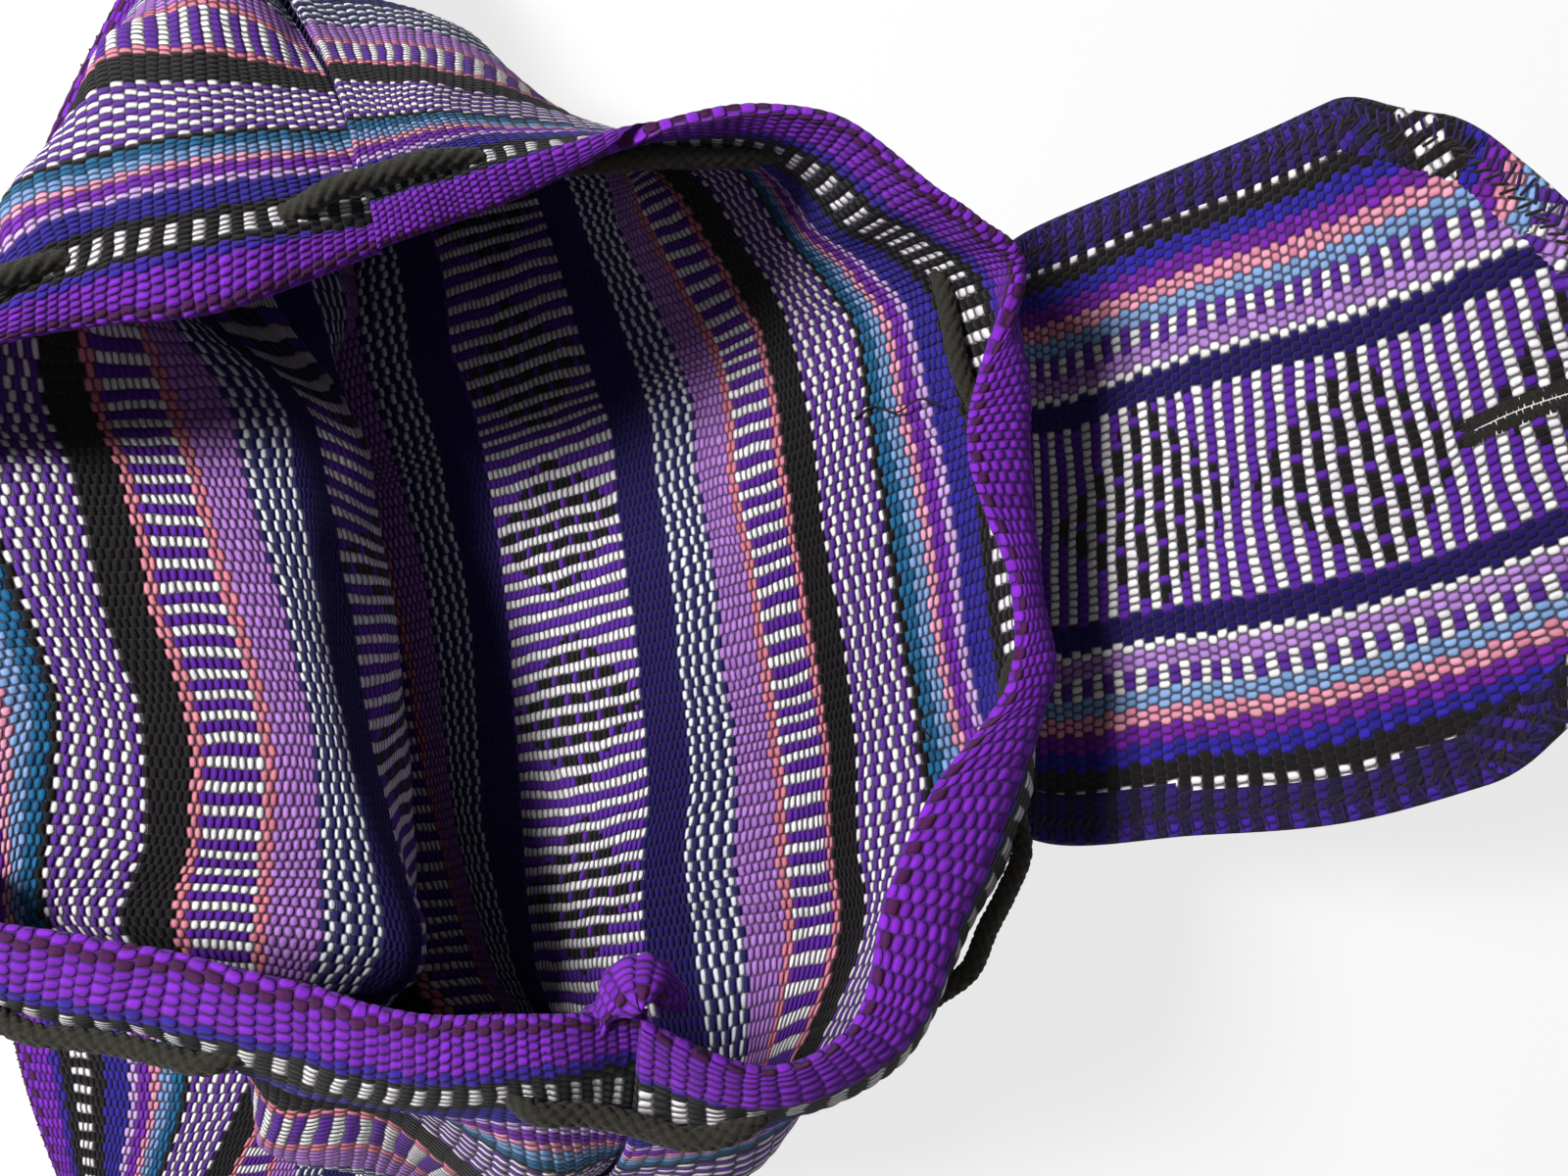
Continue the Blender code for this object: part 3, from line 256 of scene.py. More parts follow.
# Each strap: which pitch of the back panel it is sewn to, where it is folded, and its way to the corner.
# The way is (x, y, heading of the strap in degrees from -X towards +Y).
LEFT_STRAP: dict[str, Any] = {
    "column": 33.0,
    "drop": [(-24, 54, 24), (-42, 53, 12)],
    "fold_left": -60.0,
    "fold_right": 36.0,
    "y": 52.0,
    "way": [(-62, 52, 0), (-92, 57, 18), (-122, 71, 34), (-148, 93, 46), (-168, 120, 56), (-183, 148, 62)],
}
RIGHT_STRAP: dict[str, Any] = {
    "column": 52.0,
    "drop": [(-24, -50, 26), (-42, -52, 13)],
    "fold_left": -60.0,
    "fold_right": 40.0,
    "y": -54.0,
    "way": [
        (-62, -54, 0), (-92, -59, -18), (-122, -75, -36), (-146, -99, -48), (-165, -127, -57),
        (-179, -154, -64),
    ],
}

# Short ends of black thread that were left on the cloth: (x, y, z).
STRAY_THREADS = {
    "stray_thread_upper": [(41, 48, 62), (36, 50, 60), (30, 47, 56), (24, 49, 53), (19, 46, 51)],
    "stray_thread_lower": [(40, -32, 60), (36, -36, 58), (39, -40, 58), (34, -43, 55), (35, -47, 56)],
    "stray_thread_tab": [(-30, -83, 127), (-31, -88, 125), (-34, -92, 124), (-38, -94, 125)],
}


# --- Curves and surfaces -----------------------------------------------------


def through(stations: Sequence[float], values: Any, wanted: Any) -> Array:
    """A smooth curve through given values.

    Args:
        stations: Where the values are known, rising.
        values: One row for each station.
        wanted: Where to read the curve.

    Returns:
        One row for each wanted place.
    """
    xs = np.asarray(stations, float)
    ys = np.asarray(values, float)
    gaps = np.diff(xs)
    slopes = np.diff(ys, axis=0) / gaps[:, None]
    tangents = np.empty_like(ys)
    weighted = slopes[:-1] * gaps[1:, None] + slopes[1:] * gaps[:-1, None]
    tangents[1:-1] = weighted / (gaps[:-1] + gaps[1:])[:, None]
    tangents[0] = slopes[0]
    tangents[-1] = slopes[-1]
    at = np.asarray(wanted, float)
    i = np.clip(np.searchsorted(xs, at, side="right") - 1, 0, len(gaps) - 1)
    t = ((at - xs[i]) / gaps[i])[:, None]
    gap = gaps[i][:, None]
    start = (2 * t**3 - 3 * t**2 + 1) * ys[i] + (t**3 - 2 * t**2 + t) * gap * tangents[i]
    end = (3 * t**2 - 2 * t**3) * ys[i + 1] + (t**3 - t**2) * gap * tangents[i + 1]
    return start + end


def unit(vectors: Array) -> Array:
    """The same vectors, one long."""
    return vectors / np.maximum(np.linalg.norm(vectors, axis=-1, keepdims=True), 1e-9)


def travelled(line: Array) -> Array:
    """How far along a line each of its points is."""
    return np.concatenate([[0], np.cumsum(np.linalg.norm(np.diff(line, axis=0), axis=1))])


def between(at: Array, rows: Array, wanted: Array) -> Array:
    """Rows of values, read straight between the places where they are known."""
    return np.stack([np.interp(wanted, at, column) for column in rows.T], axis=1)


def even(points: Array, step: float) -> Array:
    """A smooth line through points, with evenly spaced points of its own.

    Args:
        points: The points it goes through, in millimetres.
        step: About how far apart the new ones are.

    Returns:
        The new points, the two ends among them.
    """
    lengths = travelled(points)
    fine = through(lengths, points, np.linspace(0, lengths[-1], int(lengths[-1] * FINE_POINTS_PER_MM)))
    lengths = travelled(fine)
    return between(lengths, fine, np.linspace(0, lengths[-1], int(round(lengths[-1] / step)) + 1))


def net_rows(net: Net, depths: Any) -> tuple[Array, Array]:
    """Each column of a net, read at the wanted depths."""
    rows = [through([p[0] for p in points], [p[1:] for p in points], depths) for _, points in net]
    return np.array([at for at, _ in net]), np.stack(rows)


def across(stations: Array, columns: Array, wanted: Any) -> Array:
    """Columns between the columns of a net."""
    return np.stack([through(stations, columns[:, j], wanted) for j in range(columns.shape[1])], axis=1)


def cloth_thickness(depths: Any) -> Array:
    """The cloth is doubled by the hem at the mouth."""
    share = np.clip((np.asarray(depths, float) - HEM_DEPTH) / HEM_EASE, 0, 1)
    return HEM + (CLOTH - HEM) * share


def back_surface(columns: Any, depths: Any) -> Array:
    """The middle of the back panel's cloth, which lies flat where it meets the table.

    Args:
        columns: Places round the mouth, in pitches from the first side seam.
        depths: Places down the cloth, in pitches from the mouth.

    Returns:
        A grid of points, one for each column and depth.
    """
    stations, rows = net_rows(BACK_NET, depths)
    points = across(stations, rows, columns)
    points[..., 2] = np.maximum(points[..., 2], BACK_FLOOR)
    return points


def lapped_edge(depths: Array, edge: float, inward: int) -> Array:
    """Where the front panel's edge lies inside the back panel's edge.

    Args:
        depths: Places down the cloth.
        edge: The back panel's column at the seam.
        inward: 1 or -1, the way from the seam into the back panel.

    Returns:
        One point for each depth.
    """
    rim = back_surface([edge], depths)[0]
    beside = back_surface([edge + inward], depths)[0]
    upper = back_surface([edge], np.maximum(depths - SURFACE_STEP, 0))[0]
    lower = back_surface([edge], np.minimum(depths + SURFACE_STEP, PANEL_DEPTH))[0]
    along = unit(beside - rim)
    normal = unit(np.cross(lower - upper, along)) * inward
    share = np.clip((depths - LAP_BEGINS_AT) / (LAP_ENDS_AT - LAP_BEGINS_AT), 0, 1)
    rise = cloth_thickness(depths) + SEAM_STEP
    return rim + rise[:, None] * normal + (SEAM_LAP * (1 - share))[:, None] * along


def front_surface(columns: Any, depths: Any) -> Array:
    """The middle of the front panel's cloth, from the first side seam to the second.

    Args:
        columns: Places round the mouth, in pitches from the first side seam.
        depths: Places down the cloth, in pitches from the mouth.

    Returns:
        A grid of points, one for each column and depth.
    """
    depths = np.asarray(depths, float)
    stations, rows = net_rows(FRONT_NET, depths)
    first = lapped_edge(depths, 0.0, 1)
    last = lapped_edge(depths, PANEL_WIDTH, -1)
    stations = np.concatenate([[0.0], stations, [PANEL_WIDTH]])
    rows = np.concatenate([first[None], rows, last[None]])
    points = across(stations, rows, columns)
    points[..., 2] = np.maximum(points[..., 2], FRONT_FLOOR)
    return points


def outward(surface: Surface, columns: Any, depth: float) -> Array:
    """The way out of the bag at places of a surface, by the cloth's own two directions.

    Args:
        surface: The panel's surface.
        columns: Places round the mouth.
        depth: How far down the cloth they all are.

    Returns:
        One unit vector for each column.
    """
    columns = np.asarray(columns, float)
    lower = surface(columns, [depth + SURFACE_STEP])[:, 0]
    upper = surface(columns, [max(depth - SURFACE_STEP, 0)])[:, 0]
    after = surface(np.minimum(columns + SURFACE_STEP, PANEL_WIDTH), [depth])[:, 0]
    before = surface(np.maximum(columns - SURFACE_STEP, 0), [depth])[:, 0]
    return unit(np.cross(after - before, lower - upper))


def grid_normals(points: Array) -> Array:
    """Unit normals of a grid of points."""
    return unit(np.cross(np.gradient(points, axis=0), np.gradient(points, axis=1)))


# --- Meshes ------------------------------------------------------------------


def linked(name: str, data: bpy.types.ID) -> Object:
    """A new object of the scene.

    Args:
        name: Its name.
        data: Its mesh, camera or lamp.

    Returns:
        The object, at the origin.
    """
    made = bpy.data.objects.new(name, data)
    bpy.context.scene.collection.objects.link(made)
    return made


def place(name: str, mesh: Mesh, finish: Material) -> Object:
    """Puts a mesh into the scene.

    Args:
        name: The piece's name.
        mesh: Its mesh, in metres and in its place.
        finish: Its material.

    Returns:
        The object, at the origin.
    """
    made = linked(name, mesh)
    mesh.materials.clear()
    mesh.materials.append(finish)
    return made


def enter(piece: Object, stands_for: str | None = None) -> None:
    """Tells the frame what a piece is.

    Args:
        piece: The piece, which rides on the part's one body.
        stands_for: The CAD node that it replaces, if any.
    """
    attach(piece, "root")
    if stands_for is not None:
        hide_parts(stands_for)
    LOG.info("%s: %d faces", piece.name, len(piece.data.polygons))


def evaluated_mesh(source: Object) -> Mesh:
    """The plain mesh that an object's modifiers give.

    Args:
        source: The object.

    Returns:
        A mesh of its own.
    """
    bpy.context.view_layer.update()
    graph = bpy.context.evaluated_depsgraph_get()
    return bpy.data.meshes.new_from_object(source.evaluated_get(graph), depsgraph=graph)


def cut(made: Object, cutter: Object) -> None:
    """Cuts one object's shape out of another and removes the cutter.

    Args:
        made: The object that gets the opening.
        cutter: A closed mesh.
    """
    opening = made.modifiers.new("Opening", "BOOLEAN")
    opening.operation = "DIFFERENCE"
    opening.solver = "EXACT"
    opening.object = cutter
    mesh = evaluated_mesh(made)
    made.modifiers.clear()
    made.data = mesh
    bpy.data.objects.remove(cutter)


def mesh_of(
    name: str,
    vertices: Array,
    faces: Sequence[Sequence[int]],
    finish: Material,
    uvs: Array | None = None,
    turn_out: bool = True,
) -> Object:
    """A smooth mesh from millimetres.

    Args:
        name: The piece's name.
        vertices: Places in millimetres, before the shift to the row's origin.
        faces: The corners of each face.
        finish: Its material.
        uvs: A place in the weave for each vertex or for each face corner, or None.
        turn_out: Whether to recalculate which way the faces point.

    Returns:
        The object, at the origin.
    """
    mesh = bpy.data.meshes.new(name)
    mesh.from_pydata(((np.asarray(vertices, float) + SHIFT) * MM).tolist(), [], faces)
    if uvs is not None:
        layer = mesh.uv_layers.new(name="weave")
        places = np.asarray(uvs, np.float32)
        if len(places) != len(mesh.loops):
            corners = np.empty(len(mesh.loops), np.int32)
            mesh.loops.foreach_get("vertex_index", corners)
            places = places[corners]
        layer.data.foreach_set("uv", places.reshape(-1))
    if turn_out:
        worked = bmesh.new()
        worked.from_mesh(mesh)
        bmesh.ops.recalc_face_normals(worked, faces=worked.faces)
        worked.to_mesh(mesh)
        worked.free()
    mesh.polygons.foreach_set("use_smooth", np.ones(len(mesh.polygons), bool))
    mesh.update()
    return place(name, mesh, finish)


def sheet_faces(rows: int, columns: int) -> tuple[Array, list[Any]]:
    """The faces of a closed sheet, whose two grids of vertices follow one another.

    Args:
        rows: The grids' first size.
        columns: Their second size.

    Returns:
        The first grid's quads, then every face: the first side, the second side and the border.
    """
    under = rows * columns
    number = np.arange(under).reshape(rows, columns)
    quads = np.stack([number[:-1, :-1], number[1:, :-1], number[1:, 1:], number[:-1, 1:]], axis=-1)
    quads = quads.reshape(-1, 4)
    faces = np.concatenate([quads, (quads + under)[:, ::-1]]).tolist()
    border = [*number[:, 0], *number[-1, 1:], *number[-2::-1, -1], *number[0, -2:0:-1]]
    for a, b in zip(border, border[1:] + border[:1]):
        faces.append((int(b), int(a), int(under + a), int(under + b)))
    return quads, faces


def thick_sheet(
    name: str,
    points: Array,
    half: Array,
    weave: Array,
    folded: tuple[Array, Array],
    finish: Material,
) -> Object:
    """A sheet of cloth round its middle surface, as one closed mesh.

    Args:
        name: The piece's name.
        points: A grid of places in millimetres.
        half: How far each face of the cloth stands off them.
        weave: The place in the weave over the grid.
        folded: Where a turned hem lies on the first face, and the places in the weave that it shows.
        finish: Its material.

    Returns:
        The object.
    """
    off = grid_normals(points) * half[..., None]
    vertices = np.concatenate([(points + off).reshape(-1, 3), (points - off).reshape(-1, 3)])
    quads, faces = sheet_faces(*points.shape[:2])
    flat = weave.reshape(-1, 2)
    hemmed = folded[0].reshape(-1)[quads].any(axis=1)[:, None, None]
    first = np.where(hemmed, folded[1].reshape(-1, 2)[quads], flat[quads])
    rest = np.concatenate([flat, flat])[np.array([c for face in faces[len(quads) :] for c in face])]
    return mesh_of(name, vertices, faces, finish, np.concatenate([first.reshape(-1, 2), rest]))


def frames_along(line: Array) -> tuple[Array, Array]:
    """Two directions across a line, carried along it without twisting.

    Args:
        line: Its points.

    Returns:
        The first direction and the second one at each point.
    """
    tangents = unit(np.gradient(line, axis=0))
    first = np.empty_like(line)
    side = np.cross(tangents[0], UP)
    if np.linalg.norm(side) < STANDS_UPRIGHT:
        side = np.array([0.0, 1.0, 0.0])
    for i, tangent in enumerate(tangents):
        side = side - tangent * np.dot(side, tangent)
        side = side / np.linalg.norm(side)
        first[i] = side
    return first, np.cross(tangents, first)


def tube_faces(rings: int, count: int) -> list[Any]:
    """The faces of a closed tube.

    Args:
        rings: How many rings of vertices it has.
        count: How many vertices each ring has.

    Returns:
        Its quads and its two ends.
    """
    number = np.arange(rings * count).reshape(rings, count)
    after = np.roll(number, -1, axis=1)
    faces = np.stack([number[:-1], after[:-1], after[1:], number[1:]], axis=-1).reshape(-1, 4).tolist()
    return [*faces, tuple(number[0][::-1].tolist()), tuple(number[-1].tolist())]


def swept(line: Array, radii: Array) -> tuple[Array, list[Any]]:
    """A round tube along a line.

    Args:
        line: Its middle line.
        radii: The radius at each ring and place round it.

    Returns:
        Its vertices and faces.
    """
    first, second = frames_along(line)
    angles = np.linspace(0, 2 * np.pi, radii.shape[1], endpoint=False)
    ring = first[:, None] * np.cos(angles)[None, :, None] + second[:, None] * np.sin(angles)[None, :, None]
    return (line[:, None] + ring * radii[..., None]).reshape(-1, 3), tube_faces(*radii.shape)


# --- Materials ---------------------------------------------------------------


def linear(colour: str) -> tuple[float, float, float, float]:
    """An sRGB hex colour as the linear colour that a shader takes.

    Args:
        colour: A hash sign and six digits.

    Returns:
        Red, green, blue and alpha.
    """
    shares = [int(colour[i : i + 2], 16) / 255 for i in (1, 3, 5)]
    turned = [c / 12.92 if c <= 0.04045 else ((c + 0.055) / 1.055) ** 2.4 for c in shares]
    return (turned[0], turned[1], turned[2], 1.0)


def add_node(tree: NodeTree, kind: str, links: dict[Any, Socket], output: Any = 0, **settings: Any) -> Socket:
    """Adds a node with its settings and links.

    Args:
        tree: The tree it goes into.
        kind: The node's type.
        links: For each input, the socket that feeds it or the value that is set on it.
        output: Which of its outputs to give back.
        **settings: The node's own settings.

    Returns:
        The output socket.
    """
    made = tree.nodes.new(kind)
    for key, value in settings.items():
        setattr(made, key, value)
    for key, value in links.items():
        if isinstance(value, NodeSocket):
            tree.links.new(value, made.inputs[key])
        else:
            made.inputs[key].default_value = value
    return made.outputs[output]


def started(name: str, constants: dict[str, Any]) -> tuple[Material, ShaderNode]:
    """A new material with its shader's constants.

    Args:
        name: The material's name.
        constants: The values that are the same all over the surface.

    Returns:
        The material and its shader.
    """
    made = bpy.data.materials.new(name)
    made.use_nodes = True
    shader = made.node_tree.nodes["Principled BSDF"]
    for key, value in constants.items():
        shader.inputs[key].default_value = value
    return made, shader


def grained(
    shader: ShaderNode, grain: Socket, share: Socket, shades: tuple[str, str], relief: tuple[float, float]
) -> None:
    """Gives a shader two shades and a relief by one grain.

    Args:
        shader: The shader.
        grain: The grain's height.
        share: How much of the second shade shows.
        shades: The two shades.
        relief: The relief's strength, and its depth in metres.
    """
    tree = shader.id_data
    mixed = {0: share, 6: linear(shades[0]), 7: linear(shades[1])}
    tree.links.new(add_node(tree, "ShaderNodeMix", mixed, 2, data_type="RGBA"), shader.inputs["Base Color"])
    height = {"Height": grain, "Strength": relief[0], "Distance": relief[1]}
    tree.links.new(add_node(tree, "ShaderNodeBump", height), shader.inputs["Normal"])


class Weave(Enum):
    """How two yarns share a band of the cloth."""

    BARS = "one yarn shows on every other rib"
    ZIGZAG = "two yarns of each, side by side"


@dataclass(frozen=True)
class Band:
    """A band of warp yarns: where it ends, in yarns from the middle of the cloth, and its two yarns."""

    ends: float
    light: str
    dark: str
    weave: Weave = Weave.BARS


HEM_PURPLE = "#8428C6"
HEM_SHADE = "#7822B6"
WINE = "#4E1650"
ROYAL = "#30229A"
NAVY = "#1B0C5B"
BLACK = "#110E0D"
WHITE = "#F6F1F4"
SKY = "#86A9DC"
TEAL = "#1D6A98"

PANEL_BANDS: tuple[Band, ...] = (
    Band(23.5, WHITE, "#5E24A6"),
    Band(38.5, NAVY, NAVY),
    Band(54.5, "#E6E8F4", "#231F60", Weave.ZIGZAG),
    Band(65.5, "#B57ED2", "#A971C8"),
    Band(68.5, "#DE8096", "#D87C90"),
    Band(82.5, WHITE, "#5E20A0"),
    Band(85.5, "#E8909E", "#DC8090"),
    Band(96.5, BLACK, BLACK),
    Band(116.5, "#FBF4FA", "#62309E", Weave.ZIGZAG),
    Band(118.5, BLACK, BLACK),
    Band(122.5, TEAL, "#1A5F8C"),
    Band(126.5, SKY, "#7C9FD4"),
    Band(129.5, "#F2A4C2", "#E694B4"),
    Band(133.5, "#842CBE", "#7424AC"),
    Band(137.5, "#DCB6F2", "#CFA6EA"),
    Band(144.5, ROYAL, "#2B2090"),
    Band(148.5, BLACK, BLACK),
    Band(155.5, WHITE, BLACK),
    Band(158.5, BLACK, BLACK),
    Band(161.5, "#3C22A4", "#38209A"),
    Band(168.5, HEM_PURPLE, HEM_SHADE),
    Band(170.5, HEM_SHADE, WINE),
    Band(172.5, WINE, HEM_PURPLE),
    Band(174.5, HEM_PURPLE, WINE),
    Band(186.5, HEM_PURPLE, HEM_SHADE),
)
"""The panels' stripes, from the middle out to the mouth, and past the fold the hem that is turned inside."""

FLAP_BANDS: tuple[Band, ...] = (
    Band(22.5, WHITE, "#5E24A6"),
    Band(28.5, NAVY, NAVY),
    Band(30.5, WHITE, WHITE),
    Band(34.5, "#BC8CDA", "#B080D0"),
    Band(39.5, WHITE, "#5E2A9E"),
    Band(43.5, "#8FAEDD", "#7FA2D6"),
    Band(47.5, "#F0A2B8", "#E28EA8"),
    Band(51.5, "#7A22AC", "#6C1C98"),
    Band(55.5, "#3024A8", "#281C90"),
    Band(59.5, BLACK, "#171210"),
    Band(65.5, WHITE, BLACK),
    Band(68.5, BLACK, "#1C1430"),
    Band(72.5, "#2C1C7A", "#1C1434"),
    Band(76.5, "#43209A", "#201640"),
    Band(90.0, "#2E1A6C", "#1E1638"),
)
"""The flap's stripes, from the middle out to the sides and, past the fold, the hem that is turned over."""


STRAP_BANDS: tuple[Band, ...] = (
    Band(4.5, "#5A1E9C", "#521A90"),
    Band(8.5, NAVY, NAVY),
    Band(12.5, WHITE, NAVY, Weave.ZIGZAG),
    Band(18.5, NAVY, NAVY),
    Band(30.0, BLACK, BLACK),
)
"""The straps' plain stripes."""


@dataclass(frozen=True)
class HandwovenCotton:
    """Handwoven cotton, thick soft yarns over thick wefts: rows of small rounded floats, with painted shade
    in the dark gaps between them.
    """

    name: str
    bands: tuple[Band, ...]
    yarns_per_pitch: float
    diamond_half_length: float
    diamond_spacing: float
    diamond_start: float
    roughness: float = 0.88
    sheen: float = 0.05
    specular: float = 0.15
    # How high a float stands, in metres, and how many yarns the colour ramps cover.
    float_height: float = 0.0012
    reach: float = 200.0
    # A black block with the gap after it, in yarns, and the block's share of them.
    block_yarns: float = 8.0
    block_share: float = 0.64
    # How many yarns a diamond is wider than the middle band, which cuts its corners off.
    diamond_overlap: float = 1.5
    # The colour that the gaps are darkened towards: painted crevice shade, partly the darker yarn under the
    # floats.
    gap: str = "#1A0E22"
    # How the yarns wander: the noise's scale and detail, then how far along and across the cloth, in pitches.
    wanders: tuple[tuple[float, float, float, float], ...] = ((0.55, 2.0, 0.34, 0.42), (0.13, 1.0, 0.6, 0.55))
    # How a float's round back falls off to its sides and to its ends, and where the painted crevice shade of
    # its gap begins and ends.
    side_fall: float = 1.25
    end_fall: float = 0.98
    crevice_shade_from: float = 0.16
    crevice_shade_to: float = 0.74
    # Fibres run along the yarn, so they are drawn out down the cloth; this gives their density each way.
    fibres: tuple[float, float, float] = (5.0, 42.0, 1.0)
    fibre_height: float = 0.16
    shade_low: float = 0.84
    shade_high: float = 1.1
    # How much of its own colour a dark and a pale yarn keep in their gaps, under the painted crevice shade.
    dark_keeps_in_shade: float = 0.52
    pale_keeps_in_shade: float = 0.16

    def lookup(self, tree: NodeTree, place_in: Socket, pick: Callable[[Band], str]) -> Socket:
        """A colour ramp that gives each band's yarn, with its weave in the alpha.

        Args:
            tree: The material's tree.
            place_in: How far from the middle of the cloth, as a share of the reach.
            pick: Which of the band's two colours is wanted.

        Returns:
            The colour.
        """
        colour = add_node(tree, "ShaderNodeValToRGB", {"Fac": place_in})
        ramp = colour.node.color_ramp
        ramp.interpolation = "CONSTANT"
        ramp.elements.remove(ramp.elements[1])
        start = 0.0
        for i, band in enumerate(self.bands):
            stop = ramp.elements.new(start / self.reach) if i else ramp.elements[0]
            stop.position = start / self.reach
            stop.color = (*linear(pick(band))[:3], float(band.weave is Weave.ZIGZAG))
            start = band.ends
        return colour

    def wandered(self, tree: NodeTree) -> Socket:
        """The place in the weave, moved a little, because the yarns of a hand loom wander.

        Args:
            tree: The material's tree.

        Returns:
            Pitches along and down the cloth.
        """
        add = partial(add_node, tree)
        uv = add("ShaderNodeUVMap", {}, uv_map="weave")
        moved = uv
        for scale, detail, along, down in self.wanders:
            noise = add("ShaderNodeTexNoise", {"Vector": uv, "Scale": scale, "Detail": detail}, "Color")
            noise = add("ShaderNodeVectorMath", {0: noise, 1: (0.5, 0.5, 0.5)}, operation="SUBTRACT")
            noise = add("ShaderNodeVectorMath", {0: noise, 1: (along, down, 0.0)}, operation="MULTIPLY")
            moved = add("ShaderNodeVectorMath", {0: moved, 1: noise}, operation="ADD")
        return moved

    def arithmetic(self, tree: NodeTree, moved: Socket) -> dict[str, Socket]:
        """Finds the rib and the yarn at each place of the weave, and the blocks that make the diamonds.

        Args:
            tree: The material's tree.
            moved: Pairs of bars along the cloth and pitches down it.

        Returns:
            Every value of the table, by its name.
        """
        add = partial(add_node, tree)
        along = add("ShaderNodeSeparateXYZ", {0: moved}, "X")
        found = {"along": along, "down": along.node.outputs["Y"]}
        band = self.bands[0].ends
        for name, operation, *given in (
            # Two ribs make a pair of bars. On every other rib the yarns lie one further down.
            ("ribs", "MULTIPLY", "along", 2.0),
            ("rib", "FLOOR", "ribs"),
            ("in_rib", "SUBTRACT", "ribs", "rib"),
            ("from_rib", "MULTIPLY_ADD", "in_rib", 2.0, -1.0),
            ("odd_rib", "FLOORED_MODULO", "rib", 2.0),
            ("yarns", "MULTIPLY_ADD", "down", self.yarns_per_pitch, -0.5),
            ("yarns", "SUBTRACT", "yarns", "odd_rib"),
            ("yarns", "MULTIPLY", "yarns", 0.5),
            ("near", "ROUND", "yarns"),
            ("off", "SUBTRACT", "yarns", "near"),
            ("yarn", "MULTIPLY_ADD", "near", 2.0, "odd_rib"),
            ("middle", "ADD", "yarn", 0.5),
            ("distance", "ABSOLUTE", "middle"),
            ("place", "DIVIDE", "distance", self.reach),
            # In a zigzag, yarns of one colour lie in pairs.
            ("pair", "MULTIPLY", "distance", 0.5),
            ("pair", "FLOOR", "pair"),
            ("odd_pair", "FLOORED_MODULO", "pair", 2.0),
            # Black blocks stand in rows inside the diamonds, which lie in a line along the middle band.
            ("length", "SUBTRACT", "along", self.diamond_start),
            ("length", "FLOORED_MODULO", "length", self.diamond_spacing),
            ("length", "SUBTRACT", "length", self.diamond_spacing / 2),
            ("length", "ABSOLUTE", "length"),
            ("length", "DIVIDE", "length", self.diamond_half_length),
            ("width", "DIVIDE", "distance", band + self.diamond_overlap),
            ("inside", "ADD", "width", "length"),
            ("inside", "LESS_THAN", "inside", 1.0),
            ("in_band", "LESS_THAN", "distance", band),
            ("inside", "MULTIPLY", "inside", "in_band"),
            ("bar", "FLOOR", "along"),
            ("step", "MULTIPLY", "bar", 0.5),
            ("block", "MULTIPLY_ADD", "yarn", 1 / self.block_yarns, "step"),
            ("block", "FRACT", "block"),
            ("block", "LESS_THAN", "block", self.block_share),
            ("block", "MULTIPLY", "block", "inside"),
            ("block", "MULTIPLY", "block", "odd_rib"),
            # How far each float's round back falls off, to its ends and to its sides.
            ("ends", "POWER", "from_rib", 4.0),
            ("ends", "MULTIPLY", "ends", self.end_fall),
            ("sides", "MULTIPLY", "off", 2.0),
            ("sides", "MULTIPLY", "sides", "sides"),
            ("fall", "MULTIPLY_ADD", "sides", self.side_fall, "ends"),
        ):
            links = {i: found.get(value, value) for i, value in enumerate(given)}
            found[name] = add("ShaderNodeMath", links, operation=operation)
        return found

    def build(self) -> Material:
        """The material, which reads the piece's own weave map: pairs of bars along it, pitches down it.

        Returns:
            The material.
        """
        constants = {"Roughness": self.roughness, "Sheen Weight": self.sheen, "Sheen Roughness": 0.6}
        made, shader = started(self.name, {**constants, "Specular IOR Level": self.specular})
        tree = made.node_tree
        add = partial(add_node, tree)
        moved = self.wandered(tree)
        found = self.arithmetic(tree, moved)
        # In bars the rib says which of the two yarns lies on top, in a zigzag the pair of yarns does.
        light = self.lookup(tree, found["place"], lambda band: band.light)
        dark = self.lookup(tree, found["place"], lambda band: band.dark)
        choice = {0: light.node.outputs[1], 2: found["odd_rib"], 3: found["odd_pair"]}
        choice = add("ShaderNodeMix", choice, data_type="FLOAT")
        colour = add("ShaderNodeMix", {0: choice, 6: light, 7: dark}, 2, data_type="RGBA")
        colour = add("ShaderNodeMix", {0: found["block"], 6: colour, 7: linear(BLACK)}, 2, data_type="RGBA")
        # Each float is a rounded grain with a dark gap round it: shade painted into the crevice.
        dome = add("ShaderNodeMath", {0: 1.0, 1: found["fall"]}, operation="SUBTRACT", use_clamp=True)
        dome = add("ShaderNodeMath", {0: dome, 1: 0.5}, operation="POWER")
        span = {"From Min": self.crevice_shade_from, "From Max": self.crevice_shade_to}
        gap = add("ShaderNodeMapRange", {"Value": dome, **span}, interpolation_type="SMOOTHSTEP")
        # Soft spun fibres run along each yarn, and no two floats are quite the same shade.
        fibre = add("ShaderNodeVectorMath", {0: moved, 1: self.fibres}, operation="MULTIPLY")
        fibre = add("ShaderNodeTexNoise", {"Vector": fibre, "Scale": 1.0, "Detail": 3.0}, "Fac")
        uneven = add("ShaderNodeCombineXYZ", {0: found["rib"], 1: found["yarn"]})
        uneven = add("ShaderNodeTexWhiteNoise", {"Vector": uneven}, "Value", noise_dimensions="2D")
        span = {"To Min": self.shade_low, "To Max": self.shade_high}
        uneven = add("ShaderNodeMapRange", {"Value": uneven, **span})
        spun = add("ShaderNodeMapRange", {"Value": fibre, "From Min": 0.3, "From Max": 0.7, **span})
        shade = add("ShaderNodeMath", {0: uneven, 1: spun}, operation="MULTIPLY")
        lit = add("ShaderNodeVectorMath", {0: colour, 1: shade}, operation="MULTIPLY")
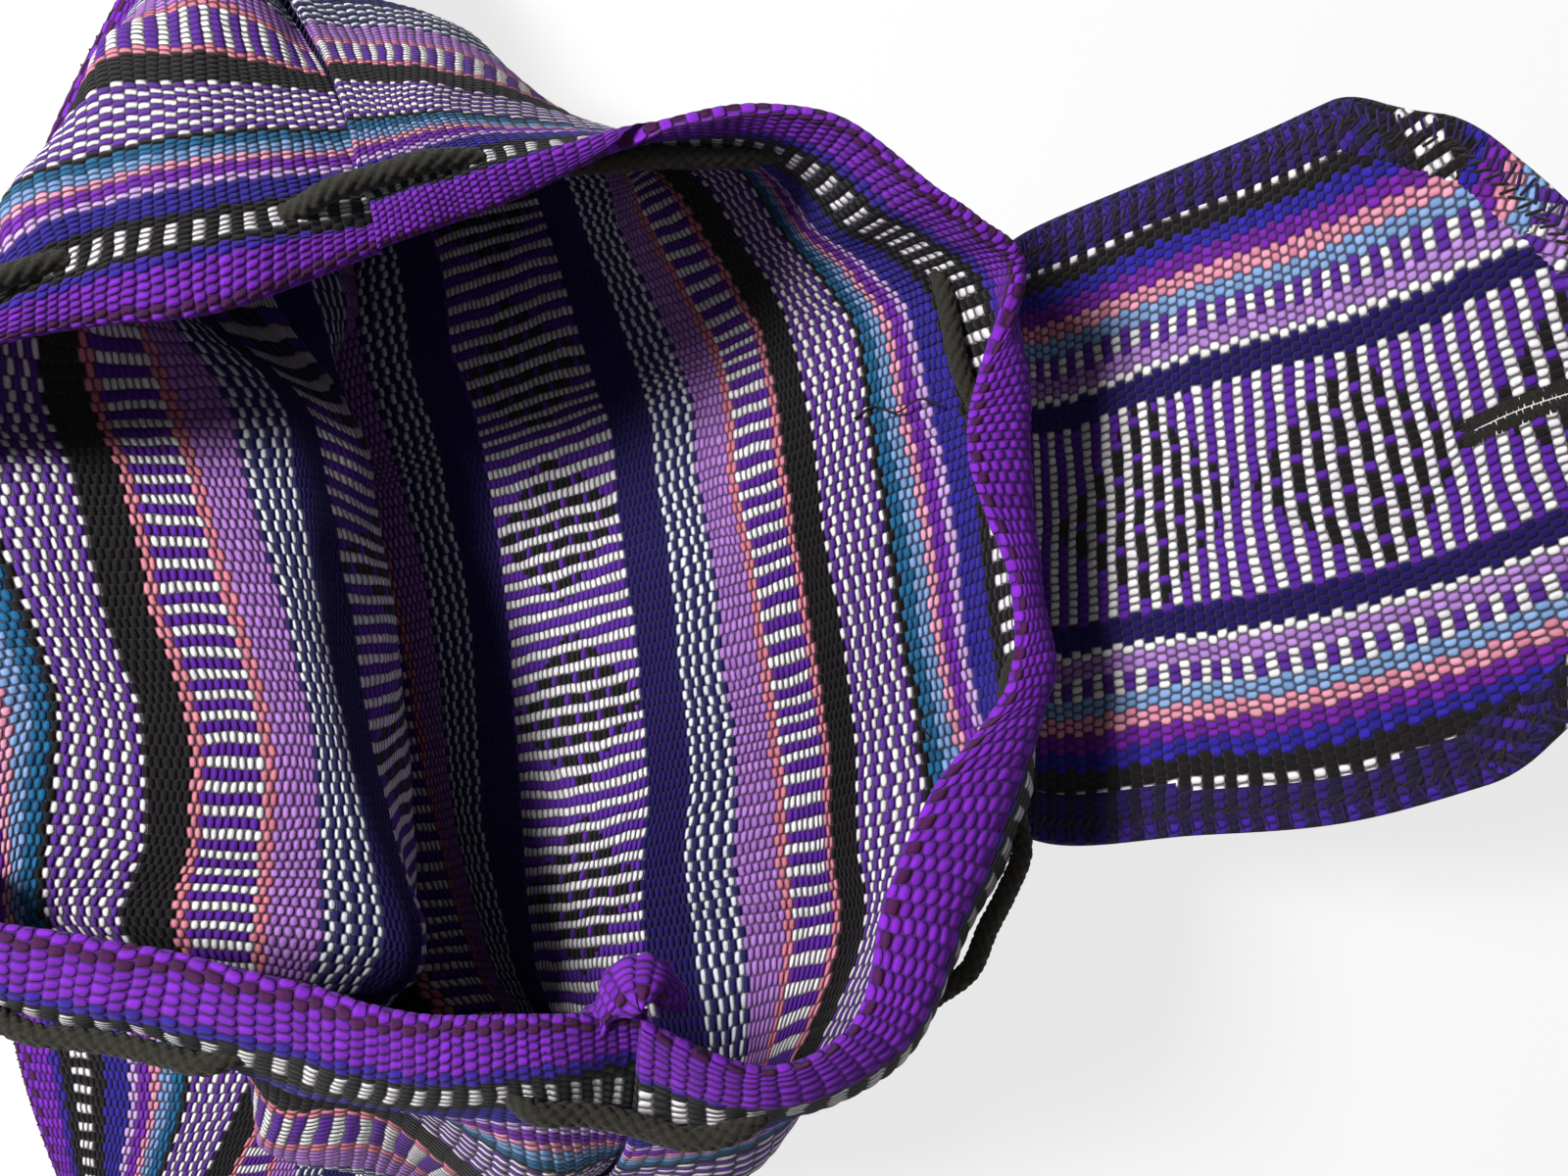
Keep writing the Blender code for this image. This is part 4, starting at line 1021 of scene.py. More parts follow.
        # In its gaps a pale yarn shows the dark one under it, and a dark yarn only its own shade; both are
        # also darkened by painted crevice shade.
        kept = add("ShaderNodeRGBToBW", {0: colour})
        span = {"From Max": 0.5, "To Min": self.dark_keeps_in_shade, "To Max": self.pale_keeps_in_shade}
        kept = add("ShaderNodeMapRange", {"Value": kept, **span})
        gap_shade_colour = add("ShaderNodeMix", {0: kept, 6: linear(self.gap), 7: colour}, 2, data_type="RGBA")
        shown = add("ShaderNodeMix", {0: gap, 6: gap_shade_colour, 7: lit}, 2, data_type="RGBA")
        tree.links.new(shown, shader.inputs["Base Color"])
        height = add("ShaderNodeMath", {0: fibre, 1: self.fibre_height, 2: dome}, operation="MULTIPLY_ADD")
        bump = add("ShaderNodeBump", {"Height": height, "Strength": 1.0, "Distance": self.float_height})
        tree.links.new(bump, shader.inputs["Normal"])
        return made


@dataclass(frozen=True)
class SpunThread:
    """Cotton or braided yarn of one colour, matt, with fibres that show as a fine grain."""

    name: str
    colour: str
    pale: str
    grain_mm: float
    depth: float
    roughness: float = 0.9
    sheen: float = 0.1
    specular: float = 0.2

    def build(self) -> Material:
        """The material, on the piece's own coordinates.

        Returns:
            The material.
        """
        constants = {"Roughness": self.roughness, "Sheen Weight": self.sheen}
        made, shader = started(self.name, {**constants, "Specular IOR Level": self.specular})
        add = partial(add_node, made.node_tree)
        where = add("ShaderNodeTexCoord", {}, "Object")
        scale = 1.0 / (self.grain_mm * 2 * MM)
        grain = add("ShaderNodeTexNoise", {"Vector": where, "Scale": scale, "Detail": 3.0}, "Fac")
        share = add("ShaderNodeMapRange", {"Value": grain, "From Min": 0.35, "From Max": 0.7})
        grained(shader, grain, share, (self.colour, self.pale), (0.6, self.depth))
        return made


@dataclass(frozen=True)
class TurnedWood:
    """Oiled hardwood turned on a lathe: fine straight grain, a soft shine on the round edge."""

    name: str = "turned_wood_oiled"
    early: str = "#A9743F"
    late: str = "#6B4122"
    roughness: float = 0.42
    # Grain lines about 0.8 mm apart, drawn out to five times that along the grain.
    grain: tuple[float, float, float] = (260.0, 1300.0, 1300.0)
    depth: float = 0.0001

    def build(self) -> Material:
        """The material, on the piece's own coordinates.

        Returns:
            The material.
        """
        made, shader = started(self.name, {"Roughness": self.roughness})
        add = partial(add_node, made.node_tree)
        where = add("ShaderNodeTexCoord", {}, "Object")
        where = add("ShaderNodeMapping", {"Vector": where, "Scale": self.grain})
        grain = add("ShaderNodeTexNoise", {"Vector": where, "Scale": 1.0, "Detail": 4.0}, "Fac")
        grained(shader, grain, grain, (self.late, self.early), (0.3, self.depth))
        return made


# --- The room ----------------------------------------------------------------


def seen_directly(tree: NodeTree) -> Socket:
    """Tells the rays that show the white room from those that light the bag.

    Args:
        tree: The tree of the world or of a material.

    Returns:
        1 for rays from the camera, glossy rays and transmitted rays, 0 for the others.
    """
    seen = add_node(tree, "ShaderNodeLightPath", {}, "Is Camera Ray")
    for kind in ("Is Glossy Ray", "Is Transmission Ray"):
        other = add_node(tree, "ShaderNodeLightPath", {}, kind)
        seen = add_node(tree, "ShaderNodeMath", {0: seen, 1: other}, operation="ADD", use_clamp=True)
    return seen


@dataclass
class Studio:
    """Camera, lamp, white room and pale table. Its sizes are in metres, the camera's lens in millimetres."""

    height: float = 0.386
    lens: float = 28.3
    sensor: float = 36.0
    nearest: float = 0.01
    lamp_size: float = 0.40
    lamp_power: float = 29.5
    lamp_place: tuple[float, float, float] = (-0.93, 0.36, 1.08)
    lamp_aim: tuple[float, float, float] = (0.0, 0.0, 0.05)
    room_light: float = 0.12
    table_size: float = 20.0
    table_colour: str = "#F4F4F4"
    table_roughness: float = 0.9
    table_glow: float = 0.78

    def camera(self) -> None:
        """The camera looks straight down on the bag."""
        data = bpy.data.cameras.new("camera")
        data.sensor_width = self.sensor
        data.lens = self.lens
        data.clip_start = self.nearest
        made = linked("camera", data)
        made.location = (SHIFT[0] * MM, SHIFT[1] * MM, self.height)
        bpy.context.scene.camera = made

    def lamp(self) -> None:
        """A wide soft lamp, high on the side of the bag's bottom."""
        data = bpy.data.lights.new("window", "AREA")
        data.shape = "RECTANGLE"
        data.size = self.lamp_size
        data.size_y = self.lamp_size
        data.energy = self.lamp_power
        made = linked("window", data)
        made.location = self.lamp_place
        aim = Vector(self.lamp_aim) - made.location
        made.rotation_euler = aim.to_track_quat("-Z", "Y").to_euler()

    def room(self) -> None:
        """A white room, which shows at full strength and lights the bag only a little."""
        world = bpy.data.worlds.new("white_room")
        world.use_nodes = True
        tree = world.node_tree
        background = tree.nodes["Background"]
        background.inputs["Color"].default_value = WHITE_LIGHT
        light = {"Value": seen_directly(tree), "To Min": self.room_light, "To Max": 1.0}
        tree.links.new(add_node(tree, "ShaderNodeMapRange", light), background.inputs["Strength"])
        bpy.context.scene.world = world

    def table(self) -> None:
        """A plain white table that keeps a soft shadow."""
        constants = {"Base Color": linear(self.table_colour), "Roughness": self.table_roughness}
        made, shader = started("white_table", constants)
        tree = made.node_tree
        glow = add_node(tree, "ShaderNodeEmission", {"Color": WHITE_LIGHT, "Strength": 1.0})
        share = {0: seen_directly(tree), 1: self.table_glow}
        share = add_node(tree, "ShaderNodeMath", share, operation="MULTIPLY")
        mixed = add_node(tree, "ShaderNodeMixShader", {0: share, 1: shader.outputs[0], 2: glow})
        tree.links.new(mixed, tree.nodes["Material Output"].inputs["Surface"])
        half = self.table_size / 2
        mesh = bpy.data.meshes.new("table")
        corners = [(-half, -half, 0), (half, -half, 0), (half, half, 0), (-half, half, 0)]
        mesh.from_pydata(corners, [], [(0, 1, 2, 3)])
        place("table", mesh, made)

    def build(self) -> None:
        """Everything that isn't the bag."""
        self.camera()
        self.lamp()
        self.room()
        self.table()
        bpy.context.scene.view_settings.view_transform = "Standard"


# --- The drawstring ----------------------------------------------------------


@dataclass
class Drawstring:
    """A round braid, threaded in and out of the cloth round the mouth, with two knotted free ends."""

    diameter: float = 4.7
    clear: float = 0.9
    # Its row below the mouth, how long it takes to pass through, and where it skips a seam, all in pitches.
    row: float = 4.1
    crossing: float = 2.6
    seam_gap: float = 2.2
    # Spacings in millimetres: of the CAD's points, of a path along each free end that nothing uses, and of
    # the mesh's rings.
    cad_step: float = 11.0
    path_step: float = 2.0
    ring_step: float = 0.45
    facets: int = 40
    strands: int = 5
    plait: float = 1.7
    relief: float = 0.9
    # How much of a strand's round back lies across it and along it, and the height that keeps the diameter.
    crown_across: float = 0.75
    crown_along: float = 0.25
    crown_middle: float = 0.6
    end_taper: float = 0.6
    knot_size: float = 3.1
    knot_points: int = 60
    knot_depth: float = 1.15
    knot_rest: float = 0.42

    def mouth_point(self, pitch: float) -> tuple[Array, Array]:
        """A point of the drawstring's row.

        Args:
            pitch: Where it is round the mouth.

        Returns:
            The point, and the way out of the bag there.
        """
        pitch = pitch % (2 * PANEL_WIDTH)
        if pitch <= PANEL_WIDTH:
            return back_surface([pitch], [self.row])[0, 0], outward(back_surface, [pitch], self.row)[0]
        column = 2 * PANEL_WIDTH - pitch
        return front_surface([column], [self.row])[0, 0], -outward(front_surface, [column], self.row)[0]

    def side(self, pitch: float) -> float:
        """Which face of the cloth the cord runs on.

        Args:
            pitch: Where it is round the mouth.

        Returns:
            1 outside the cloth, -1 inside it, and between them through each crossing.
        """
        side, change = 1.0, -2
        for crossing in CORD_CROSSINGS[1:-1]:
            share = np.clip((pitch - crossing) / self.crossing + 0.5, 0, 1)
            side += change * share * share * (3 - 2 * share)
            change = -change
        return side

    def route(self) -> Array:
        """The cord's way from the first free end, round the mouth, to the last free end.

        Returns:
            Its middle line.
        """
        offset = self.diameter / 2 + CLOTH / 2 + self.clear
        seams = np.array([0.0, PANEL_WIDTH])
        points = [np.array(p, float) for p in reversed(FIRST_TAIL)]
        for pitch in np.arange(CORD_CROSSINGS[0], CORD_CROSSINGS[-1] + 0.01, 1.0):
            if np.abs(seams - pitch).min() < self.seam_gap:
                continue
            point, way = self.mouth_point(pitch)
            points.append(point + way * offset * self.side(pitch))
        points.extend(np.array(p, float) for p in LAST_TAIL)
        return even(np.array(points), self.cad_step)

    def braid(self, name: str, line: Array, finish: Material) -> Object:
        """A braided tube: two sets of strands that cross over and under each other.

        Args:
            name: The piece's name.
            line: Its middle line.
            finish: Its material.

        Returns:
            The tube.
        """
        line = even(line, self.ring_step)
        along = (np.arange(len(line)) * self.ring_step)[:, None] / (2 * self.plait)
        turns = np.linspace(0, 1, self.facets, endpoint=False)[None, :] * self.strands
        first, second = turns + along, turns - along
        over = (np.floor(first) + np.floor(second)) % 2 == 0
        cross = np.where(over, first - np.floor(first), second - np.floor(second)) * 2 - 1
        lengthwise = np.where(over, second - np.floor(second), first - np.floor(first)) * 2 - 1
        crown = (1 - cross**2) * self.crown_across + (1 - lengthwise**2) * self.crown_along
        radii = self.diameter / 2 + self.relief * (crown - self.crown_middle)
        radii[[0, -1]] *= self.end_taper
        vertices, faces = swept(line, radii)
        return mesh_of(name, vertices, faces, finish, turn_out=False)

    def knot(self, name: str, at: Array, way: Array, finish: Material) -> Object:
        """An overhand knot, drawn up round the cord.

        Args:
            name: The piece's name.
            at: Its middle.
            way: The cord's direction there.
            finish: Its material.

        Returns:
            The knot.
        """
        turns = np.linspace(0, 2 * np.pi, self.knot_points, endpoint=False)
        x = np.sin(turns) + 2 * np.sin(2 * turns)
        y = np.cos(turns) - 2 * np.cos(2 * turns)
        z = -np.sin(3 * turns) * self.knot_depth
        way = way / np.linalg.norm(way)
        side = unit(np.cross(way, UP))
        up = np.cross(side, way)
        line = np.stack([x, y, z], axis=1) * self.knot_size / 2.0
        placed = at + line[:, :1] * way + line[:, 1:2] * side + line[:, 2:] * up
        placed[:, 2] = np.maximum(placed[:, 2], self.diameter * self.knot_rest)
        return self.braid(name, np.concatenate([placed, placed[:1]]), finish)

    def build(self) -> None:
        """The run round the mouth, then the two free ends, which leave the cloth where their points begin."""
        finish = SpunThread("braided_cord_charcoal", "#23211C", "#37342D", 0.2, 0.0001).build()
        route = self.route()
        starts = (FIRST_TAIL[0], LAST_TAIL[0])
        first_out, last_out = (int(np.argmin(np.linalg.norm(route - start, axis=1))) for start in starts)
        smooth = even(route, self.cad_step)
        mouth = self.braid("drawstring_in_the_mouth", smooth[first_out : last_out + 1], finish)
        enter(mouth, "drawstring")
        for name, line in (("first", smooth[first_out::-1]), ("last", smooth[last_out:])):
            tail = self.braid(f"{name}_free_end", line, finish)
            knot = self.knot(f"{name}_knot", line[-2], line[-1] - line[-3], finish)
            enter(tail)
            enter(knot)
            path = even(line, self.path_step)


# --- The woven pieces --------------------------------------------------------


def rib_relief(bars: Array, height: float) -> Array:
    """How far the cloth stands out over its ribs, two to each pair of bars."""
    return height * (np.abs(np.sin(2 * np.pi * bars)) ** RIB_FLATNESS - RIB_MIDDLE)


def bars_at(widths: Sequence[tuple[float, float]], columns: Array) -> Array:
    """Counts the pairs of bars round a panel.

    Args:
        widths: How wide one pair is, in pitches, at pitches round the panel.
        columns: Places round the panel.

    Returns:
        How many pairs of bars lie before each place.
    """
    fine = np.linspace(0, PANEL_WIDTH, BAR_SAMPLES)
    width = np.interp(fine, [w[0] for w in widths], [w[1] for w in widths])
    steps = np.diff(fine) * (1 / width[1:] + 1 / width[:-1]) / 2
    return np.interp(columns, fine, np.concatenate([[0], np.cumsum(steps)]))


def rumple(u: Array, v: Array, height: float) -> Array:
    """Small soft waves of the cloth.

    Args:
        u: Pitches round the panel.
        v: Pitches down it.
        height: How high the waves are, in millimetres.

    Returns:
        How far the cloth is lifted at each place.
    """
    waves = sum(share * np.sin(along * u + down * v + start) for share, along, down, start in WAVES)
    return height * waves / 3


def edge_round(places: Array, size: float, reach: float) -> Array:
    """Rounds the cloth's two edges.

    Args:
        places: Places across the cloth, from its first edge.
        size: Where its second edge is.
        reach: How far in from an edge the round goes.

    Returns:
        The share of the thickness at each place.
    """
    near = np.minimum(places, size - places) / reach
    return np.sqrt(np.clip(1 - (1 - np.clip(near, EDGE_BLUNTNESS, 1)) ** 2, 0, 1))


@dataclass
class Panel:
    """One woven rectangle of the bag, draped over its net of points."""

    name: str
    surface: Surface
    bars: Sequence[tuple[float, float]]
    samples_per_rib: int = 4
    # The rows of the mesh: close together over the rim and the hem's fold, then even down to the bottom seam.
    rim_rows: tuple[float, ...] = (0.0, 0.06, 0.18, 0.4, 0.9, 1.4, 1.9, 2.25, 2.45, 2.7, 3.05, 3.6)
    even_from: float = 4.4
    even_rows: int = 51
    last_row: float = 0.25
    rib_height: float = 0.32
    rim_reach: float = 0.45
    edge_reach: float = 0.22
    wave: float = 0.5
    calm_edge: float = 2.0
    calm_below: float = 40.0

    def build(self, finish: Material) -> None:
        """The panel's mesh with its weave map.

        Args:
            finish: The cloth's material.
        """
        columns = np.linspace(0, PANEL_WIDTH, int(PANEL_WIDTH) * 2 * self.samples_per_rib + 1)
        lower = np.linspace(self.even_from, PANEL_DEPTH - self.last_row, self.even_rows)
        depths = np.concatenate([self.rim_rows, lower, [PANEL_DEPTH]])
        points = self.surface(columns, depths)
        bars = bars_at(self.bars, columns)
        calm = np.clip(np.minimum(columns, PANEL_WIDTH - columns) / self.calm_edge, 0, 1)
        calm = np.minimum(calm[:, None], (depths < self.calm_below)[None, :])
        waves = rumple(columns[:, None], depths[None, :], self.wave) * calm
        points = points + grid_normals(points) * waves[..., None]
        thickness = cloth_thickness(depths) * edge_round(depths, PANEL_DEPTH, self.rim_reach)
        thickness = thickness * edge_round(columns, PANEL_WIDTH, self.edge_reach)[:, None]
        half = thickness / 2 + rib_relief(bars, self.rib_height)[:, None]
        u, v = np.meshgrid(bars, depths, indexing="ij")
        weave = np.stack([u, v - PANEL_DEPTH / 2], axis=-1)
        turned = (v < HEM_DEPTH, np.stack([u, -v - PANEL_DEPTH / 2], axis=-1))
        made = thick_sheet(self.name + "_cloth", points, half, weave, turned, finish)
        enter(made, self.name)


@dataclass
class Flap:
    """The flap: a woven piece with turned, overcast hems, two cut corners and a worked slot for a button."""

    half_width: float = 15.0
    # Where it is sewn to the back panel and where it leaves it, and the panel's column under its middle.
    sewn_at: float = 10.2
    leaves_at: float = 7.4
    middle: float = 43.2
    # The same places and its knee along the flap itself, counted from the hinge to the tip.
    sewn_length: float = -8.6
    leaves_length: float = -5.8
    knee_length: float = -2.4
    tip_length: float = 26.2
    row_step: float = 0.25 / 1.5
    last_row: float = 0.1
    columns: int = 145
    surface_columns: int = 49
    corner_round: float = 0.9
    # Further columns of the mesh beside its edges and beside its hem, as shares of half the width.
    edge_columns: tuple[float, ...] = (0.0, 0.006, 0.02)
    hem_columns: float = 0.1
    edge_reach: float = 0.4
    edge_bluntness: float = 0.03
    rib_height: float = 0.3
    hem_flattens: float = 0.6
    # The hem is wider on the lower side, but not from one place to the other along it.
    hem: float = 1.85
    lower_hem: float = 2.35
    narrow: tuple[float, float] = (5.5, 15.0)
    hem_change: float = 1.5
    hem_step: float = 0.18
    hem_begins: float = 0.6
    # The slot's middle in pitches from the hinge, then its length, its width and how deep it is cut.
    slot_at: float = 22.15
    slot_length: float = 24.75
    slot_width: float = 1.76
    slot_cut: float = 16.0

    def base_row(self, depth: float, columns: Array) -> Array:
        """A row of the flap's sewn edge, on the outside of the back panel."""
        points = back_surface(columns, [depth])[:, 0]
        return points + outward(back_surface, columns, depth) * (CLOTH + TOUCH)

    def surface(self, lengths: Any, widths: Array) -> Array:
        """The middle of the flap's cloth.

        Args:
            lengths: Places along the flap, in pitches from the hinge.
            widths: Places across it, in pitches from its middle.

        Returns:
            A grid of points.
        """
        columns = self.middle - widths
        edges = [-self.half_width, 0, self.half_width]
        rows = [through(edges, [bottom, mid, top], widths) for _, top, mid, bottom in FLAP_NET]
        sewn = self.base_row(self.sewn_at, columns)
        leaves = self.base_row(self.leaves_at, columns)
        knee = (leaves + rows[0]) / 2
        knee[:, 0], knee[:, 2] = FLAP_KNEE
        rows = np.stack([sewn, leaves, knee, *rows])
        stations = [at for at, *_ in FLAP_NET]
        at = np.array([self.sewn_length, self.leaves_length, self.knee_length, *stations])
        return np.stack([through(at, rows[:, j], lengths) for j in range(len(widths))], axis=1)

    def outline(self, lengths: Array) -> Array:
        """Half the width at each length, with the cut corners a little rounded."""
        near = np.asarray(lengths)[:, None] + np.linspace(-self.corner_round, self.corner_round, 7)
        return np.interp(near, [o[0] for o in FLAP_OUTLINE], [o[1] for o in FLAP_OUTLINE]).mean(axis=1)

    def edge_distance(self, u: Array, v: Array) -> tuple[Array, Array]:
        """Measures from the outline, on one half of the flap.

        Args:
            u: Places along the flap.
            v: Places across it.

        Returns:
            How far each place is inside the outline, and the way out to it.
        """
        corners = [*FLAP_OUTLINE, (self.tip_length, 0.0)]
        best = np.full(u.shape, np.inf)
        out = np.zeros((*u.shape, 2))
        for (u0, v0), (u1, v1) in zip(corners, corners[1:]):
            way = np.array([u1 - u0, v1 - v0])
            way = way / np.hypot(*way)
            normal = np.array([-way[1], way[0]])
            distance = -((u - u0) * normal[0] + (v - v0) * normal[1])
            nearer = distance < best
            best = np.where(nearer, distance, best)
            out[nearer] = normal
        return best, out

    def hem_share(self, u: Array, v: Array, distance: Array) -> Array:
        """Where the hem is turned over.

        Args:
            u: Places along the flap.
            v: Places across it.
            distance: How far each place is inside the outline.

        Returns:
            1 on the hem, 0 inside it.
        """
        begins, ends = self.narrow
        narrow = np.clip((u - begins) / self.hem_change, 0, 1) * np.clip((ends - u) / self.hem_change, 0, 1)
        wider = (self.lower_hem - self.hem) * (1 - narrow) * (v < 0) * (u < FLAP_OUTLINE[1][0])
        share = np.clip((self.hem + wider + self.hem_step - distance) / self.hem_step, 0, 1)
        return share * (u > self.knee_length + self.hem_begins)

    def build(self, finish: Material) -> None:
        """The flap's mesh. Its hem shows the cloth's own edge folded over.

        Args:
            finish: The cloth's material.
        """
        ribs = np.arange(self.sewn_length, self.tip_length, self.row_step)
        lengths = np.concatenate([ribs, [self.tip_length - self.last_row, self.tip_length]])
        half = self.outline(lengths)
        rim = np.array(self.edge_columns)
        inner = self.hem_columns
        shares = [np.linspace(-1, 1, self.columns), 1 - rim, rim - 1, 1 - rim - inner, rim + inner - 1]
        shares = np.unique(np.concatenate(shares))
        wide = np.linspace(-self.half_width, self.half_width, self.surface_columns)
        coarse = self.surface(lengths, wide)
        points = np.stack([through(wide, row, shares * reach) for row, reach in zip(coarse, half)])
        u = np.repeat(lengths[:, None], len(shares), axis=1)
        v = shares[None, :] * half[:, None]
        distance, out = self.edge_distance(u, np.abs(v))
        hemmed = self.hem_share(u, v, distance)
        edge = np.minimum((1 - np.abs(shares))[None, :] * half[:, None], self.tip_length - u)
        edge = 1 - np.clip(edge / self.edge_reach, self.edge_bluntness, 1)
        thickness = (CLOTH + (HEM - CLOTH) * hemmed) * np.sqrt(np.clip(1 - edge**2, 0, 1))
        ribs_out = rib_relief(lengths * FLAP_BARS_PER_PITCH, self.rib_height)[:, None]
        stands_off = thickness / 2 + ribs_out * (1 - self.hem_flattens * hemmed)
        scale = (FLAP_BARS_PER_PITCH, 1.0)
        middle = (0.0, FLAP_PATTERN_MIDDLE)
        weave = (np.stack([u, v], axis=-1) - middle) * scale
        folded_u = u + 2 * distance * out[..., 0]
        folded_v = np.sign(v) * (np.abs(v) + 2 * distance * out[..., 1])
        folded = (hemmed > 0.5, (np.stack([folded_u, folded_v], axis=-1) - middle) * scale)
        made = thick_sheet("flap_cloth", points, stands_off, weave, folded, finish)
        self.cut_slot(made)
        enter(made, "flap")

    def cut_slot(self, cloth: Object) -> None:
        """Opens the slot through the flap, along it.

        Args:
            cloth: The flap.
        """
        near = SURFACE_STEP * np.array([-1.0, 0.0, 1.0])
        spots = self.surface(self.slot_at + near, near)
        along = unit(spots[2, 1] - spots[0, 1])
        side = unit(spots[1, 2] - spots[1, 0])
        axes = np.stack([along, side, unit(np.cross(along, side))])
        box = np.array([(x, y, z) for x in (-1, 1) for y in (-1, 1) for z in (-1, 1)], float) / 2
        corners = spots[1, 1] + box * (self.slot_length, self.slot_width, self.slot_cut) @ axes
        faces = [(0, 1, 3, 2), (4, 6, 7, 5), (0, 4, 5, 1), (2, 3, 7, 6), (0, 2, 6, 4), (1, 5, 7, 3)]
        cut(cloth, mesh_of("slot_cutter", corners, faces, cloth.data.materials[0]))


@dataclass
class Strap:
    """A woven shoulder strap, sewn to the back panel and folded flat under the bag."""

    name: str
    plan: dict[str, Any]
    width: float = 44.0
    thickness: float = 2.5
    layer: float = 3.0
    lead_in: float = 6.0
    # Where it is sewn on, in pitches down the back panel.
    sewn_from: float = 12.0
    sewn_to: float = 17.5
    sewn_points: int = 4
    turn_points: int = 5
    step: float = 2.75
    columns: int = 17
    edge_share: float = 0.45

    def turn(self, x: float, top: float, bottom: float, way: int) -> list[tuple[float, float]]:
        """A turn back under itself.

        Args:
            x: Where it begins.
            top: The height of the layer above.
            bottom: The height of the layer below.
            way: 1 or -1, the way it bulges.

        Returns:
            Its points, as x and height.
        """
        radius = (top - bottom) / 2
        angles = np.radians(np.linspace(0, 180, self.turn_points + 2))[1:-1]
        return [(x + way * radius * np.sin(a), (top + bottom) / 2 + radius * np.cos(a)) for a in angles]

    def places(self) -> tuple[Array, int]:
        """The strap's way from the back panel's top to the bottom corner.

        Returns:
            Its points, and the number of the first one of its last run.
        """
        away = CLOTH / 2 + TOUCH + self.thickness / 2
        column = self.plan["column"]
        sewn = []
        for depth in np.linspace(self.sewn_from, self.sewn_to, self.sewn_points):
            point = back_surface([column], [depth])[0]
            sewn.append((point + outward(back_surface, [column], depth) * away)[0])
        low = self.thickness / 2
        layers = [low + 2 * self.layer, low + self.layer, low]
        left, right, y = self.plan["fold_left"], self.plan["fold_right"], self.plan["y"]
        middle = (left + right) / 2
        flat = [(left + self.lead_in, layers[0]), (left, layers[0])]
        flat += self.turn(left, layers[0], layers[1], -1)
        flat += [(left, layers[1]), (middle, layers[1]), (right, layers[1])]
        flat += self.turn(right, layers[1], layers[2], 1)
        flat += [(right, layers[2]), (middle, layers[2])]
        places = [tuple(p) for p in sewn] + list(self.plan["drop"])
        places += [(x, y, z) for x, z in flat]
        places += [(x, aside, low) for x, aside, _ in self.plan["way"]]
        return np.array(places, float), len(places) - len(self.plan["way"])

    def sides(self, count: int, turned: int) -> Array:
        """The way across the strap at each of its points.

        Args:
            count: How many points it has.
            turned: The number of the first one of its last run.

        Returns:
            One unit vector for each point.
        """
        column = self.plan["column"]
        ends = back_surface([column - SURFACE_STEP, column + SURFACE_STEP], [self.sewn_from])[:, 0]
        last = self.sewn_points + len(self.plan["drop"]) - 1
        share = np.minimum(np.arange(count) / last, 1)[:, None]
        sides = unit(ends[0] - ends[1]) * (1 - share) + np.array([0.0, 1.0, 0.0]) * share
        for i, (_, _, heading) in enumerate(self.plan["way"]):
            angle = math.radians(heading)
            sides[turned + i] = (math.sin(angle), math.cos(angle), 0.0)
        return unit(sides)

    def build(self, finish: Material) -> None:
        """The strap's mesh, with a weave map along its length.

        Args:
            finish: The band's material.
        """
        places, turned = self.places()
        sides = self.sides(len(places), turned)
        ups = unit(np.cross(unit(np.gradient(places, axis=0)), sides))
        lengths = travelled(places)
        wanted = np.unique(np.concatenate([lengths, np.arange(0, lengths[-1], self.step)]))
        line = between(lengths, places, wanted)
        side = unit(between(lengths, sides, wanted))
        up = unit(between(lengths, ups, wanted))
        shares = np.linspace(-1, 1, self.columns)
        middle = line[:, None] + side[:, None] * (shares * self.width / 2)[None, :, None]
        thick = self.thickness / 2 * np.where(np.abs(shares) < 1, 1.0, self.edge_share)
        off = up[:, None] * thick[None, :, None]
        vertices = np.concatenate([(middle + off).reshape(-1, 3), (middle - off).reshape(-1, 3)])
        u, v = np.meshgrid(wanted / PITCH, shares * self.width / 2 / PITCH, indexing="ij")
        uvs = np.concatenate([np.stack([u, v], axis=-1).reshape(-1, 2)] * 2)
        made = mesh_of(self.name + "_band", vertices, sheet_faces(*middle.shape[:2])[1], finish, uvs)
        enter(made, self.name)
        LOG.info("%s: %.0f mm long", made.name, lengths[-1])


